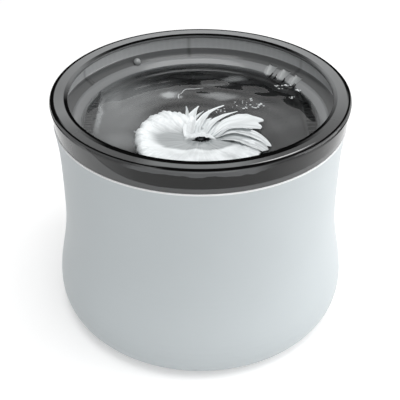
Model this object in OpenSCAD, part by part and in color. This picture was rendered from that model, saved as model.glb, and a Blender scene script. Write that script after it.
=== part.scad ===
// Round pet water fountain: waisted base, hanging tank, submersible pump in a ring filter,
// stepped drinking dish with side drains, and a see-through splash ring.
// Millimetres. Origin on the floor under the middle of the base, +Z up, front towards -Y.

/* [Base casing] */
// Height of the whole fountain, floor to rim
overall_h = 166; // [150:1:185]
// Diameter of the casing at its top edge
seam_d = 197.6; // [197:0.1:199]
// Diameter of the casing at its waist
waist_d = 193.2; // [193:0.1:196]
// Height of the waist above the floor
waist_z = 118; // [112:1:122]
// Diameter of the casing at its widest, near the floor
belly_d = 211; // [208:0.5:214]
// Height of the widest place above the floor
belly_z = 20; // [18:0.5:24]
// Diameter of the ring that the casing's side ends in underneath
foot_d = 191; // [190:0.5:194]
// Wall of the casing
shell_t = 2.6; // [2.2:0.1:2.8]
// Depth of the ledge's ring below the casing's top edge, which the tank hangs on
ledge_drop = 4; // [3.6:0.1:5]
// How far the rubber feet stand proud of the casing
foot_proud = 1.2; // [0.8:0.1:1.4]

/* [Bottom cover] */
// Thickness of the bottom cover
plate_t = 3.2; // [3:0.1:3.6]
// Thickness of the casing's inward flange that the cover seats under
flange_t = 2.6; // [2.2:0.1:3]
// Width of that flange
flange_w = 8; // [6:0.5:9]
// Height of the stiffening ribs on the bottom cover
plate_rib_h = 3; // [2:0.5:4]
// Diameter of a rubber foot
foot_pad_d = 16; // [12:0.5:20]
// Distance from a foot's edge to the bottom cover's edge
foot_inset = 2.7; // [1.5:0.1:6]
// Distance of a cover screw from the middle
screw_r = 66; // [56:1:68]
// Shank diameter of a cover screw
screw_d = 3; // [2.5:0.1:3.5]
// Head diameter of a cover screw
screw_head_d = 6; // [5.5:0.1:6.5]

/* [Tank] */
// Inside diameter of the tank at its mouth
tank_mouth_d = 177.2; // [176:0.2:178]
// Inside diameter of the tank at its floor
tank_floor_d = 164; // [160:0.5:166]
// Height of the tank floor above the ground
tank_floor_z = 15; // [14.5:0.5:17]
// Wall of the tank
tank_t = 2.2; // [2:0.1:2.4]
// Rounding between the tank's floor and wall
tank_fillet = 8; // [5:0.5:10]
// Height of the tank's lip above its flange
lip_h = 3.1; // [2.6:0.1:3.4]
// Width of that lip
lip_w = 2.4; // [2:0.1:2.6]

/* [Splash ring] */
// Outside diameter of the rim
rim_d = 200; // [199:0.5:202]
// Width of the flat rim
rim_w = 12; // [10:0.5:13]
// Thickness of the flat rim
rim_t = 2.8; // [2.4:0.1:3.2]
// Height of the splash ring from its skirt's lower edge to the rim
skirt_h = 16.8; // [16:0.1:18]
// Wall of the skirt
skirt_t = 2.3; // [2:0.1:2.4]
// Outside diameter of the skirt at its lower edge
skirt_end_d = 196.4; // [196:0.1:197]
// Rounding of the rim's outer edge
rim_round = 1.8; // [1.2:0.1:2.2]

/* [Drinking dish] */
// Outside diameter of the dish's upstanding wall
dish_wall_d = 190; // [189:0.2:190.4]
// Wall thickness of the dish
dish_t = 2; // [1.8:0.1:2.4]
// Depth of the ledge's outer edge below the rim
ledge_out_drop = 13.4; // [13:0.1:13.8]
// Depth of the ledge's inner edge below the rim
ledge_in_drop = 17.2; // [16.8:0.1:17.4]
// Width of the ledge, from the foot of the dish's wall inwards
dish_ledge_w = 5.9; // [5:0.1:7]
// Width of the shoulder, from the ledge to the water line
shoulder_w = 6; // [5:0.5:7]
// Depth of the water line below the rim
pool_drop = 20.3; // [20:0.1:21.5]
// Depth of the dish floor below the rim
dish_floor_drop = 28; // [27:0.5:29]
// Distance of each drain's straight lip from the middle
drain_x = 70; // [68:0.5:72]
// Thickness of that lip
drain_lip_t = 1.6; // [1.2:0.1:2]
// Spacing of the drain's bars
drain_pitch = 5; // [4.5:0.1:6]
// Width of a drain bar
drain_bar_w = 1.7; // [1.4:0.1:2]
// Angle of the middle of the pouring flutes, counter-clockwise from +X
flute_angle = 43.4; // [30:0.1:60]
// Number of pouring flutes
flute_count = 3; // [2:1:5]
// Angle from one pouring flute to the next
flute_pitch = 8.2; // [8:0.1:10]
// Radius of a pouring flute
flute_r = 7; // [6:0.5:8]
// Depth of a pouring flute in the shoulder
flute_depth = 1.1; // [0.6:0.1:1.2]
// Angle between the ledge's locating ribs at the back and at the front
rib_angle = 56; // [50:1:60]
// Angle of the round fill mark on the shoulder
mark_angle = 123; // [110:1:135]
// Radius of the round fill mark
mark_r = 2.8; // [2.2:0.1:3.2]

/* [Outlet] */
// How far the outlet lies in front of the middle
outlet_front = 32; // [30:0.5:33]
// Outside radius of the nozzle's stem
nozzle_r = 6.2; // [5.6:0.1:7]
// Radius of the nozzle's bore above the riser
nozzle_bore_r = 4.6; // [4:0.1:4.8]
// Number of slots in the nozzle's crown
crown_slots = 8; // [6:1:10]
// Outside radius of the riser tube
riser_r = 6.5; // [6.3:0.1:6.8]
// Bore radius of the riser tube
riser_bore_r = 5; // [4.8:0.1:5.1]

/* [Ring filter] */
// Outside diameter of the filter cage
cage_d = 104; // [103:0.5:106]
// Inside diameter of the filter cage
cage_in_d = 83; // [82.6:0.2:84]
// Wall of the cage's slotted tubes
cage_t = 1.6; // [1.4:0.1:1.8]
// Height of the top of the cage above the floor
cage_top_z = 60; // [59:0.5:63]
// Number of slots round the outer tube
cage_slots = 28; // [20:2:32]
// Width of a slot
slot_w = 3.2; // [2.4:0.1:3.6]
// Number of pleats in the filter medium
pleats = 44; // [32:2:52]
// Thickness of the filter lid
filter_lid_t = 2.4; // [2:0.1:3]
// Height of the lid's finger bridge
bridge_h = 11; // [9:0.5:13]

/* [Pump] */
// Width of the motor housing
pump_w = 42; // [41:0.5:43]
// Length of the motor housing, front to back
pump_len = 34; // [33.5:0.1:35]
// Height of the motor housing
pump_h = 38; // [37:0.5:39]
// Height of the rotor's axis above the tank floor
axis_rise = 23; // [22.5:0.1:23.5]
// Radius of the rotor magnet
magnet_r = 7; // [6.6:0.1:7.2]
// Length of the rotor magnet
magnet_len = 22; // [19:0.5:23]
// Radius of the ceramic shaft
shaft_r = 1.2; // [1:0.05:1.4]
// Outside radius of the impeller
impeller_r = 12.2; // [11:0.1:12.6]
// Number of impeller blades
blades = 6; // [4:1:7]
// Radius of the pump chamber
chamber_r = 13.5; // [13.2:0.1:13.8]
// Outside radius of the pump chamber's casing
volute_r = 17; // [16.6:0.1:17.4]
// Height of the intake cover
cover_h = 34; // [33:0.5:35]
// Depth of the intake cover, front to back
cover_depth = 10; // [9.5:0.1:10.5]
// Number of slots in the intake cover
cover_slots = 7; // [5:1:8]

/* [Lead gland] */
// Bore radius of the gland for the pump's lead
gland_bore_r = 2.2; // [1.8:0.1:2.4]
// Width of the gland
gland_w = 8; // [7.4:0.1:8]
// Height of the gland
gland_h = 8.2; // [8:0.1:8.6]

/* [Hidden] */

$fn = 96;
eps = 0.01;                 // overlap of cutters past the face that they open
seat_gap = 0.2;             // under pieces that lift off
side_gap = 0.3;             // beside pieces that are dropped in
run_gap = 0.05;             // round pieces that turn or are pressed together

white = [0.86, 0.88, 0.88];
smoke = [0.33, 0.35, 0.36, 0.75];
dark_smoke = [0.24, 0.25, 0.26, 0.85];
pump_black = [0.13, 0.14, 0.15];
rubber_grey = [0.25, 0.26, 0.27];
charcoal = [0.3, 0.32, 0.33];

// ---- casing ----
foot_z = foot_proud;
seam_z = overall_h - skirt_h - seat_gap;
seam_r = seam_d / 2;
waist_r = waist_d / 2;
belly_r = belly_d / 2;
foot_r = foot_d / 2;
seam_round = 0.5;
rebate_w = 2.6;                                    // top edge left outside the tank's flange
rebate_r = seam_r - rebate_w;
ledge_z = seam_z - ledge_drop;
ledge_w = 3;
ledge_r = rebate_r - ledge_w;
recess_z = foot_z + plate_t;                       // underside of the casing's foot flange
flange_z = recess_z + flange_t;
recess_r = foot_r - 3.5;
flange_r = recess_r - flange_w;
plate_r = recess_r - side_gap;
foot_pad_r = plate_r - foot_inset - foot_pad_d / 2;   // from the middle to a foot's middle
plate_hub_r = 24;                                  // inner ring rib of the bottom cover
plate_rib_t = 1.6;
plate_rib_gap = 20;                                // from that rib to the next one outwards

// Outer radius of the casing at height z: a parabola above the waist, a late cosine swell below
// it, and a quarter ellipse under the widest place.
function swell(t) = (1 - cos(180 * t)) / 2;
function shell_r(z) =
    z >= waist_z ? waist_r + (seam_r - waist_r) * pow((z - waist_z) / (seam_z - waist_z), 2) :
    waist_r + (belly_r - waist_r) * swell(pow((waist_z - z) / (waist_z - belly_z), 2));
function arc(cx, cy, r, from, to, steps) =
    [for (i = [0:steps]) let (a = from + (to - from) * i / steps) [cx + r * cos(a), cy + r * sin(a)]];
function span(from, to, steps) = [for (i = [0:steps]) from + (to - from) * i / steps];

shell_steps = 26;
under_steps = 8;

// ---- tank ----
tank_top_z = ledge_z;
tank_flange_t = 2.4;
tank_flange_z = ledge_z + tank_flange_t;
tank_flange_r = rebate_r - side_gap;
tank_mouth_r = tank_mouth_d / 2;
tank_floor_r = tank_floor_d / 2;
tank_under_z = tank_floor_z - tank_t;
lip_r = dish_wall_d / 2 + 0.2;
lip_top_z = tank_flange_z + lip_h;
boss_r = 4.6;
boss_hole_z = tank_floor_z - tank_t;
screw_head_h = 1.8;
screw_len = 9;

// ---- dish ----
rim_z = overall_h;
dish_r = dish_wall_d / 2;
dish_rest_z = lip_top_z + seat_gap;
dish_top_z = rim_z - rim_t - seat_gap;
ledge_out_z = rim_z - ledge_out_drop;
ledge_in_z = rim_z - ledge_in_drop;
wall_foot_w = 0.6;                                 // small slope at the foot of the dish's wall
ledge_out_r = dish_r - dish_t - wall_foot_w;
ledge_in_r = ledge_out_r - dish_ledge_w;
pool_r = ledge_in_r - shoulder_w;
pool_z = rim_z - pool_drop;
dish_floor_z = rim_z - dish_floor_drop;
dish_under_z = dish_floor_z - dish_t;
dish_fillet = 5.5;
basin_r = pool_r - 1.2;                            // the basin's wall below the water line
drain_r = basin_r - 0.8;
drain_lip_z = pool_z - 0.6;
drain_bar_top_z = dish_floor_z + 2.6;
slope_z = ledge_in_z - pool_z;
slope_angle = atan2(slope_z, shoulder_w);
flute_low = 3;                                     // from the water line down along the wall
flute_len = flute_low + shoulder_w / cos(slope_angle) + 2;
ledge_rib_w = 1;
ledge_rib_h = 1.1;

// ---- outlet ----
out_y = -outlet_front;
spigot_r = 9;
spigot_len = 10;
nozzle_hole_r = spigot_r + 0.2;
nozzle_flange_r = 12.5;
nozzle_flange_t = 2;
nozzle_z = dish_floor_z + seat_gap;                // underside of the nozzle's flange
nozzle_top_z = pool_z + 1.4;
collar_r = nozzle_hole_r + 2.2;
collar_z = nozzle_z - spigot_len + 2;
socket_r = riser_r + 0.2;                          // nozzle's bore round the riser
socket_top_z = nozzle_z - 2;
riser_top_z = socket_top_z - 1;
o_ring_t = 1.2;
o_ring_z = nozzle_z - 6.4;
o_ring_r = spigot_r - 0.48;                        // to the middle of its section
groove_r = o_ring_r - o_ring_t / 2 - 0.02;

// ---- pump ----
cup_h = 4;
pump_z = tank_floor_z + cup_h;                     // underside of the motor housing
pump_top_z = pump_z + pump_h;
axis_z = tank_floor_z + axis_rise;
volute_half = 6;
housing_y = out_y + volute_half;                   // front face of the motor housing
housing_back_y = housing_y + pump_len;
housing_t = 2;
housing_round = 4;
well_r = magnet_r + 0.6;
well_t = 1.4;
well_len = magnet_len + 5;
bush_r = 2.8;
bush_len = 2;
front_bush_y = out_y - volute_half + 0.2;
rear_bush_y = housing_y + well_len;
spider_t = 2.4;
inlet_r = 6;
hub_r = 3.6;
blade_t = 1.3;
web_t = 1.4;
impeller_y = out_y - 2.8;                          // front edge of the blades
blade_len = 5.4;
magnet_y = housing_y + 1;
spigot_out_r = riser_bore_r - run_gap;
tower_r = volute_half - 0.2;
spigot_top_z = pump_top_z + 12;
spigot_bore_r = 3.6;
riser_z = pump_top_z + 1.2;
seal_t = 1.2;
seal_r = 15.3;
cover_y = out_y - volute_half - seat_gap;          // back edge of the intake cover
cover_front_y = cover_y - cover_depth;
cover_t = 1.6;
cover_w = 2 * volute_r + 2;
arm_t = 2;
cover_z = axis_z - cover_h / 2;
cover_slot_w = 2.2;
cover_slot_h = 17;
slider_z = cover_z + cover_h - 8;                  // middle height of the flow slider
slider_h = 7;
slider_w = 13;
slider_t = 1.3;
window_w = 10;
window_h = 4.4;
cup_x = pump_w / 3;
cup_in_y = 7;                                      // from the housing's ends to a cup's middle
cup_r = 5.6;
cup_neck_r = 2;
core_len = 16;
core_y = housing_y + 8;                            // front of the stator core
core_w = 31;
core_z = pump_z + housing_t + 1.4;                 // underside of the stator core
core_yoke_h = 4.6;
coil_w = 17;
coil_wall = 2;
pole_gap = 10;

// ---- ring filter ----
filter_y = housing_y + (pump_len - cover_depth - 2 * volute_half) / 2;   // middle of the pump
cage_r = cage_d / 2;
cage_in_r = cage_in_d / 2;
cage_z = tank_floor_z + seat_gap;
cage_floor_t = 2;
slot_z = cage_z + cage_floor_t + 3;
slot_h = cage_top_z - slot_z - 5;
media_out_r = cage_r - cage_t - side_gap;
media_in_r = cage_in_r + cage_t + side_gap;
media_z = cage_z + cage_floor_t;
lid_skirt_h = 4;
lid_r = cage_r + side_gap + 1.6;
lead_notch_w = 6;
lid_hole_x = 27;
lid_hole_pitch = 8;

// ---- gland ----
gland_top_z = seam_z - 0.2;
gland_z = gland_top_z - gland_h;
gland_bore_z = gland_z + gland_h / 2;
gland_out_y = seam_r + 0.5;
gland_in_y = ledge_r - 0.4;
notch_gap = 0.1;

module at_corners(r, first) {
    for (i = [0:3]) rotate([0, 0, first + 90 * i]) translate([r, 0, 0]) children();
}

// Cylinder along +Y from y = from to y = to, on the rotor's axis
module along_axis(r, from, to) {
    translate([0, from, axis_z]) rotate([-90, 0, 0]) cylinder(r = r, h = to - from);
}

module rounded_plan(w, d, r) {
    translate([r, r]) square([w - 2 * r, d - 2 * r]);
    translate([r, 0]) square([w - 2 * r, d]);
    translate([0, r]) square([w, d - 2 * r]);
    for (x = [r, w - r]) for (y = [r, d - r]) translate([x, y]) circle(r = r);
}

// ---------------------------------------------------------------- base

module lead_notch(w, low_z, in_y, out_y_end) {
    translate([-w / 2, in_y, low_z + w / 2])
        cube([w, out_y_end - in_y, seam_z + lip_h + 2 - low_z - w / 2]);
    translate([0, in_y, low_z + w / 2]) rotate([-90, 0, 0]) cylinder(d = w, h = out_y_end - in_y);
}

module outer_shell() {
    outer_side = [for (z = span(belly_z, seam_z - seam_round, shell_steps)) [shell_r(z), z]];
    inner_side = [for (z = span(ledge_z - 7, belly_z, shell_steps)) [shell_r(z) - shell_t, z]];
    outer_under = [for (a = span(0, 90 - 90 / under_steps, under_steps - 1))
        [foot_r + (belly_r - foot_r) * sin(a), belly_z - (belly_z - foot_z) * cos(a)]];
    inner_under = [for (a = span(90 - 90 / under_steps, 0, under_steps - 1))
        [foot_r + (belly_r - foot_r - shell_t) * sin(a), belly_z - (belly_z - flange_z) * cos(a)]];
    top_edge = arc(seam_r - seam_round, seam_z - seam_round, seam_round, 22.5, 90, 3);
    color(white)
    difference() {
        rotate_extrude($fn = 180) polygon(concat(
            outer_under, outer_side, top_edge,
            [[rebate_r, seam_z], [rebate_r, ledge_z], [ledge_r, ledge_z], [ledge_r, ledge_z - 3]],
            inner_side, inner_under,
            [[flange_r, flange_z], [flange_r, recess_z], [recess_r, recess_z], [recess_r, foot_z]]));
        lead_notch(gland_w + 2 * notch_gap, gland_z - notch_gap, ledge_r - 2, seam_r + 1);
    }
}

module inner_tank() {
    wall_top = tank_top_z;
    side_slope = (tank_mouth_r - tank_floor_r) / (wall_top - tank_floor_z);
    inside_low = arc(tank_floor_r - tank_fillet + side_slope * tank_fillet,
                     tank_floor_z + tank_fillet, tank_fillet, -90, 0, 6);
    outside_low = arc(tank_floor_r - tank_fillet + side_slope * tank_fillet,
                      tank_floor_z + tank_fillet, tank_fillet + tank_t, 0, -90, 6);
    color(white)
    difference() {
        union() {
            rotate_extrude($fn = 180) polygon(concat(
                [[0, tank_floor_z]], inside_low,
                [[tank_mouth_r, wall_top], [tank_mouth_r, tank_flange_z - 0.6],
                 [tank_mouth_r + 0.6, tank_flange_z],
                 [lip_r - lip_w, tank_flange_z], [lip_r - lip_w, lip_top_z],
                 [lip_r, lip_top_z], [lip_r, tank_flange_z],
                 [tank_flange_r, tank_flange_z], [tank_flange_r, ledge_z],
                 [tank_mouth_r + tank_t, ledge_z]],
                outside_low, [[0, tank_under_z]]));
            at_corners(screw_r, 0)
                translate([0, 0, recess_z]) cylinder(r = boss_r, h = tank_under_z - recess_z + 1);
            at_corners(screw_r, 0) rotate([0, 0, 180]) translate([0, -1, recess_z + 2])
                cube([16, 2, tank_under_z - recess_z - 1]);
        }
        at_corners(screw_r, 0)
            translate([0, 0, recess_z - eps])
                cylinder(r = screw_d / 2 + run_gap, h = boss_hole_z - recess_z - 0.6);
        lead_notch(lead_notch_w, gland_z + 1, tank_mouth_r - 6, tank_flange_r + 1);
        translate([-gland_w / 2 - notch_gap, gland_in_y - notch_gap, ledge_z - 1])
            cube([gland_w + 2 * notch_gap, 20, lip_h + tank_flange_t + 3]);
    }
}

module base_plate() {
    color(white)
    difference() {
        union() {
            translate([0, 0, foot_z]) cylinder(r = plate_r, h = plate_t, $fn = 180);
            for (r = [plate_hub_r, plate_hub_r + plate_rib_gap]) translate([0, 0, recess_z - eps]) difference() {
                cylinder(r = r + plate_rib_t / 2, h = plate_rib_h);
                translate([0, 0, -1]) cylinder(r = r - plate_rib_t / 2, h = plate_rib_h + 2);
            }
            for (i = [0:7]) rotate([0, 0, 22.5 + 45 * i])
                translate([plate_hub_r, -plate_rib_t / 2, recess_z - eps])
                    cube([flange_r - plate_hub_r - 10, plate_rib_t, plate_rib_h]);
        }
        at_corners(foot_pad_r, 45)
            translate([0, 0, foot_z - eps]) cylinder(d = foot_pad_d + 0.2, h = foot_proud);
        at_corners(screw_r, 0) {
            translate([0, 0, foot_z - 1]) cylinder(r = screw_d / 2 + 0.2, h = plate_t + 2);
            translate([0, 0, foot_z - eps]) cylinder(r = screw_head_d / 2 + 0.2, h = screw_head_h + 0.2);
        }
    }
}

module base_screws() {
    color("silver")
    at_corners(screw_r, 0) difference() {
        union() {
            translate([0, 0, foot_z + 0.1]) cylinder(d = screw_head_d, h = screw_head_h, $fn = 32);
            translate([0, 0, foot_z + 1]) cylinder(d = screw_d, h = screw_len - 1, $fn = 32);
        }
        for (a = [0, 90]) rotate([0, 0, a])
            translate([-screw_head_d / 3, -0.4, foot_z]) cube([screw_head_d / 1.5, 0.8, 1.2]);
    }
}

module rubber_feet() {
    pad_h = foot_proud + foot_proud - eps;
    color(rubber_grey)
    at_corners(foot_pad_r, 45) rotate_extrude($fn = 48) polygon([
        [0, 0], [foot_pad_d / 2 - 1, 0], [foot_pad_d / 2, 0.8], [foot_pad_d / 2, pad_h], [0, pad_h]]);
}

module lead_grommet() {
    low = gland_z + gland_w / 2;
    color(rubber_grey)
    difference() {
        union() {
            translate([-gland_w / 2, gland_in_y, low])
                cube([gland_w, gland_out_y - gland_in_y, gland_top_z - low]);
            translate([0, gland_in_y, low]) rotate([-90, 0, 0])
                cylinder(d = gland_w, h = gland_out_y - gland_in_y);
        }
        translate([0, gland_in_y - 1, gland_bore_z]) rotate([-90, 0, 0])
            cylinder(r = gland_bore_r, h = gland_out_y - gland_in_y + 2);
    }
}

// ---------------------------------------------------------------- top

module top_ring() {
    rim_r = rim_d / 2;
    bottom_z = seam_z + seat_gap;
    end_r = skirt_end_d / 2;
    in_r = rim_r - rim_w;
    in_round = 1.2;
    under_z = rim_z - rim_t;
    color(smoke)
    union() {
        rotate_extrude($fn = 180) polygon(concat(
            [[end_r - skirt_t, bottom_z], [end_r, bottom_z]],
            arc(rim_r - rim_round, rim_z - rim_round, rim_round, 0, 90, 5),
            arc(in_r + in_round, rim_z - in_round, in_round, 90, 180, 4),
            [[in_r, under_z + 0.5], [in_r + 0.5, under_z],
             [rim_r - skirt_t - 1.2, under_z], [rim_r - skirt_t - 0.4, under_z - 0.9]]));
        for (i = [0:11]) rotate([0, 0, 15 + 30 * i])
            translate([0, 0.6, 0]) rotate([90, 0, 0]) linear_extrude(1.2) polygon([
                [rim_r - skirt_t - 2.2, under_z + 0.4], [rim_r - skirt_t + 0.4, under_z + 0.4],
                [rim_r - skirt_t - 0.2, under_z - 5]]);
    }
}

module dish_bowl() {
    top_side = concat(
        [[0, dish_floor_z], [basin_r - dish_fillet, dish_floor_z]],
        arc(basin_r - dish_fillet, dish_floor_z + dish_fillet, dish_fillet, -72, 0, 4),
        [[pool_r, pool_z]],
        [for (t = [0.2, 0.4, 0.6, 0.8]) [pool_r + shoulder_w * t, pool_z + slope_z * sin(90 * t)]],
        [[ledge_in_r, ledge_in_z], [ledge_out_r, ledge_out_z],
         [dish_r - dish_t, ledge_out_z + 0.8], [dish_r - dish_t, dish_top_z - 0.5],
         [dish_r - dish_t + 0.4, dish_top_z], [dish_r - 0.4, dish_top_z], [dish_r, dish_top_z - 0.5]]);
    under_side = [
        [dish_r, dish_rest_z], [dish_r - 2.8, dish_rest_z],
        [ledge_in_r + 0.4, ledge_in_z - dish_t], [pool_r + 1.6, pool_z - dish_t + 0.4],
        [basin_r + dish_t - 0.4, dish_floor_z + dish_fillet]];
    low_corner = arc(basin_r - dish_fillet, dish_floor_z + dish_fillet,
                     dish_fillet + dish_t - 0.4, -18, -90, 4);
    rotate_extrude($fn = 180)
        polygon(concat(top_side, under_side, low_corner, [[0, dish_floor_z - dish_t + 0.4]]));
}

module drain_pocket() {
    intersection() {
        translate([0, 0, dish_under_z - 1]) cylinder(r = drain_r, h = dish_fillet + 4, $fn = 180);
        translate([drain_x + drain_lip_t, -drain_r, dish_under_z - 1])
            cube([drain_r, 2 * drain_r, dish_fillet + 4]);
    }
}

module drain_grate() {
    half = sqrt(drain_r * drain_r - drain_x * drain_x);
    bars = floor(half / drain_pitch);
    intersection() {
        translate([0, 0, dish_under_z - 1]) cylinder(r = basin_r + 0.4, h = pool_z, $fn = 180);
        union() {
            translate([drain_x, -half - 4, dish_floor_z - dish_t + 0.4])
                cube([drain_lip_t, 2 * half + 8, drain_lip_z - dish_floor_z + dish_t - 0.4]);
            for (i = [-bars:bars])
                translate([drain_x + eps, i * drain_pitch - drain_bar_w / 2, dish_floor_z - dish_t + 0.4])
                    cube([basin_r - drain_x + 4, drain_bar_w, drain_bar_top_z - dish_floor_z + dish_t - 0.4]);
        }
    }
}

module drinking_dish() {
    color(dark_smoke)
    difference() {
        union() {
            difference() {
                dish_bowl();
                for (side = [0, 180]) rotate([0, 0, side]) drain_pocket();
            }
            for (side = [0, 180]) rotate([0, 0, side]) drain_grate();
            translate([0, out_y, collar_z]) cylinder(r = collar_r, h = dish_floor_z - collar_z);
            for (half_turn = [0, 180]) for (k = [-1:1])
                rotate([0, 0, 95 + half_turn + rib_angle * k])
                    translate([0, ledge_rib_w / 2, 0]) rotate([90, 0, 0]) linear_extrude(ledge_rib_w)
                        polygon([[ledge_in_r + 0.6, ledge_in_z - 0.2], [dish_r - 1, ledge_out_z - 0.2],
                                 [dish_r - 1, ledge_out_z + ledge_rib_h],
                                 [ledge_in_r + 0.6, ledge_in_z + ledge_rib_h * 0.6]]);
            rotate([0, 0, mark_angle]) translate([ledge_in_r + 0.8, 0, ledge_in_z + 1.9])
                sphere(r = mark_r, $fn = 40);
        }
        translate([0, out_y, collar_z - 1]) cylinder(r = nozzle_hole_r, h = dish_floor_z - collar_z + 2);
        for (i = [0:flute_count - 1])
            rotate([0, 0, flute_angle + (i - (flute_count - 1) / 2) * flute_pitch])
                translate([pool_r, 0, pool_z]) rotate([0, 90 - slope_angle, 0])
                    translate([flute_depth - flute_r, 0, -flute_low]) cylinder(r = flute_r, h = flute_len);
    }
}

module water_nozzle() {
    crown_z = nozzle_top_z - 3.4;
    color(pump_black)
    translate([0, out_y, 0])
    difference() {
        union() {
            rotate_extrude() polygon(concat(
                [[socket_r, nozzle_z - spigot_len], [spigot_r - 0.5, nozzle_z - spigot_len],
                 [spigot_r, nozzle_z - spigot_len + 0.5], [spigot_r, o_ring_z - o_ring_t / 2 - 0.1],
                 [groove_r, o_ring_z - o_ring_t / 2 - 0.1], [groove_r, o_ring_z + o_ring_t / 2 + 0.1],
                 [spigot_r, o_ring_z + o_ring_t / 2 + 0.1], [spigot_r, nozzle_z],
                 [nozzle_flange_r, nozzle_z], [nozzle_flange_r, nozzle_z + nozzle_flange_t - 0.6],
                 [nozzle_flange_r - 0.6, nozzle_z + nozzle_flange_t]],
                arc(nozzle_r + 1.6, nozzle_z + nozzle_flange_t + 1.6, 1.6, 270, 180, 4),
                arc(nozzle_r - 0.8, nozzle_top_z - 0.8, 0.8, 0, 90, 3),
                [[nozzle_bore_r, nozzle_top_z], [nozzle_bore_r, socket_top_z], [socket_r, socket_top_z]]));
            translate([0, 0, crown_z]) cylinder(r = 2, h = nozzle_top_z - crown_z, $fn = 32);
            for (i = [0:2]) rotate([0, 0, 60 * i]) translate([-nozzle_bore_r - 0.4, -0.6, crown_z])
                cube([2 * nozzle_bore_r + 0.8, 1.2, 2]);
        }
        for (i = [0:crown_slots - 1]) rotate([0, 0, (i + 0.5) * 360 / crown_slots])
            translate([nozzle_bore_r - 0.6, -0.7, nozzle_top_z - 2]) cube([nozzle_r, 1.4, 3]);
    }
}

module nozzle_o_ring() {
    color("black")
    translate([0, out_y, o_ring_z]) rotate_extrude($fn = 64)
        translate([o_ring_r, 0]) circle(d = o_ring_t, $fn = 24);
}

// ---------------------------------------------------------------- riser and filter

module riser_tube() {
    color([0.75, 0.78, 0.78, 0.7])
    translate([0, out_y, riser_z]) difference() {
        cylinder(r = riser_r, h = riser_top_z - riser_z);
        translate([0, 0, -1]) cylinder(r = riser_bore_r, h = riser_top_z - riser_z + 2);
    }
}

module slot_ring(count, radius) {
    for (i = [0:count - 1]) rotate([0, 0, (i + 0.5) * 360 / count])
        translate([radius - 3, -slot_w / 2, slot_z]) cube([6, slot_w, slot_h]);
}

module filter_cage() {
    hoop_h = 1.4;
    hoops = [slot_z + slot_h * 0.36, slot_z + slot_h * 0.68];
    color(white)
    translate([0, filter_y, 0])
    difference() {
        union() {
            rotate_extrude() polygon([
                [cage_in_r, cage_z], [cage_r - 0.6, cage_z], [cage_r, cage_z + 0.6],
                [cage_r, cage_top_z], [cage_r - cage_t, cage_top_z],
                [cage_r - cage_t, media_z], [cage_in_r, media_z]]);
            for (z = hoops) translate([0, 0, z]) difference() {
                cylinder(r = cage_r + 0.6, h = hoop_h);
                translate([0, 0, -1]) cylinder(r = cage_r - cage_t, h = hoop_h + 2);
            }
        }
        difference() {
            slot_ring(cage_slots, cage_r);
            for (z = hoops) translate([0, 0, z]) cylinder(r = cage_r + 4, h = hoop_h);
        }
        lead_way(cage_r - 4, cage_top_z - 8);
    }
}

// The perforated core that the medium is wound on stands on the cage's floor
module filter_core() {
    color(white)
    translate([0, filter_y, 0])
    difference() {
        translate([0, 0, media_z]) difference() {
            cylinder(r = cage_in_r + cage_t, h = cage_top_z - media_z);
            translate([0, 0, -1]) cylinder(r = cage_in_r, h = cage_top_z - media_z + 2);
        }
        slot_ring(cage_slots / 2, cage_in_r);
        lead_way(cage_in_r - 4, cage_top_z - 8);
    }
}

// Cut at the back of the ring that lets the pump's lead out, from radius r outwards
module lead_way(r, low_z) {
    translate([-lead_notch_w / 2, r, low_z]) cube([lead_notch_w, cage_r, cage_top_z - low_z + 0.6]);
}

module filter_media() {
    pleat_t = 1.7;
    function fold(i, off) = let (r = i % 2 == 0 ? media_out_r - off : media_in_r + pleat_t - off,
                                 a = i * 180 / pleats) [r * cos(a), r * sin(a)];
    color(charcoal)
    difference() {
        translate([0, filter_y, media_z]) linear_extrude(cage_top_z - media_z - 1) difference() {
            polygon([for (i = [0:2 * pleats - 1]) fold(i, 0)]);
            polygon([for (i = [0:2 * pleats - 1]) fold(i, pleat_t)]);
        }
        translate([0, filter_y, 0]) lead_way(cage_in_r - 4, cage_top_z - 8.5);
    }
}

module filter_lid() {
    hole_r = riser_r + 0.6;
    bridge_w = 12;
    bridge_len = 30;
    color(white)
    difference() {
        union() {
            translate([0, filter_y, 0]) rotate_extrude() polygon([
                [0, cage_top_z], [cage_r + side_gap, cage_top_z],
                [cage_r + side_gap, cage_top_z - lid_skirt_h], [lid_r, cage_top_z - lid_skirt_h],
                [lid_r, cage_top_z + filter_lid_t - 1], [lid_r - 1, cage_top_z + filter_lid_t],
                [0, cage_top_z + filter_lid_t]]);
            translate([-bridge_len / 2, filter_y + 14, cage_top_z + filter_lid_t - eps])
                cube([bridge_len, bridge_w, bridge_h]);
            translate([0, out_y, cage_top_z]) cylinder(r = hole_r + 1.8, h = filter_lid_t + 3);
        }
        translate([-bridge_len / 2 + 3, filter_y + 13, cage_top_z + filter_lid_t])
            cube([bridge_len - 6, bridge_w + 2, bridge_h - 2.6]);
        translate([0, out_y, cage_top_z - 1]) cylinder(r = hole_r, h = filter_lid_t + 6);
        translate([0, filter_y, 0]) lead_way(cage_in_r - 4, cage_top_z - 8);
        for (side = [-1, 1]) for (k = [-2.5:1.5])
            translate([side * lid_hole_x, filter_y + k * lid_hole_pitch, cage_top_z - 1])
                cylinder(r = 1.6, h = filter_lid_t + 2, $fn = 24);
    }
}

// ---------------------------------------------------------------- pump

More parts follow.
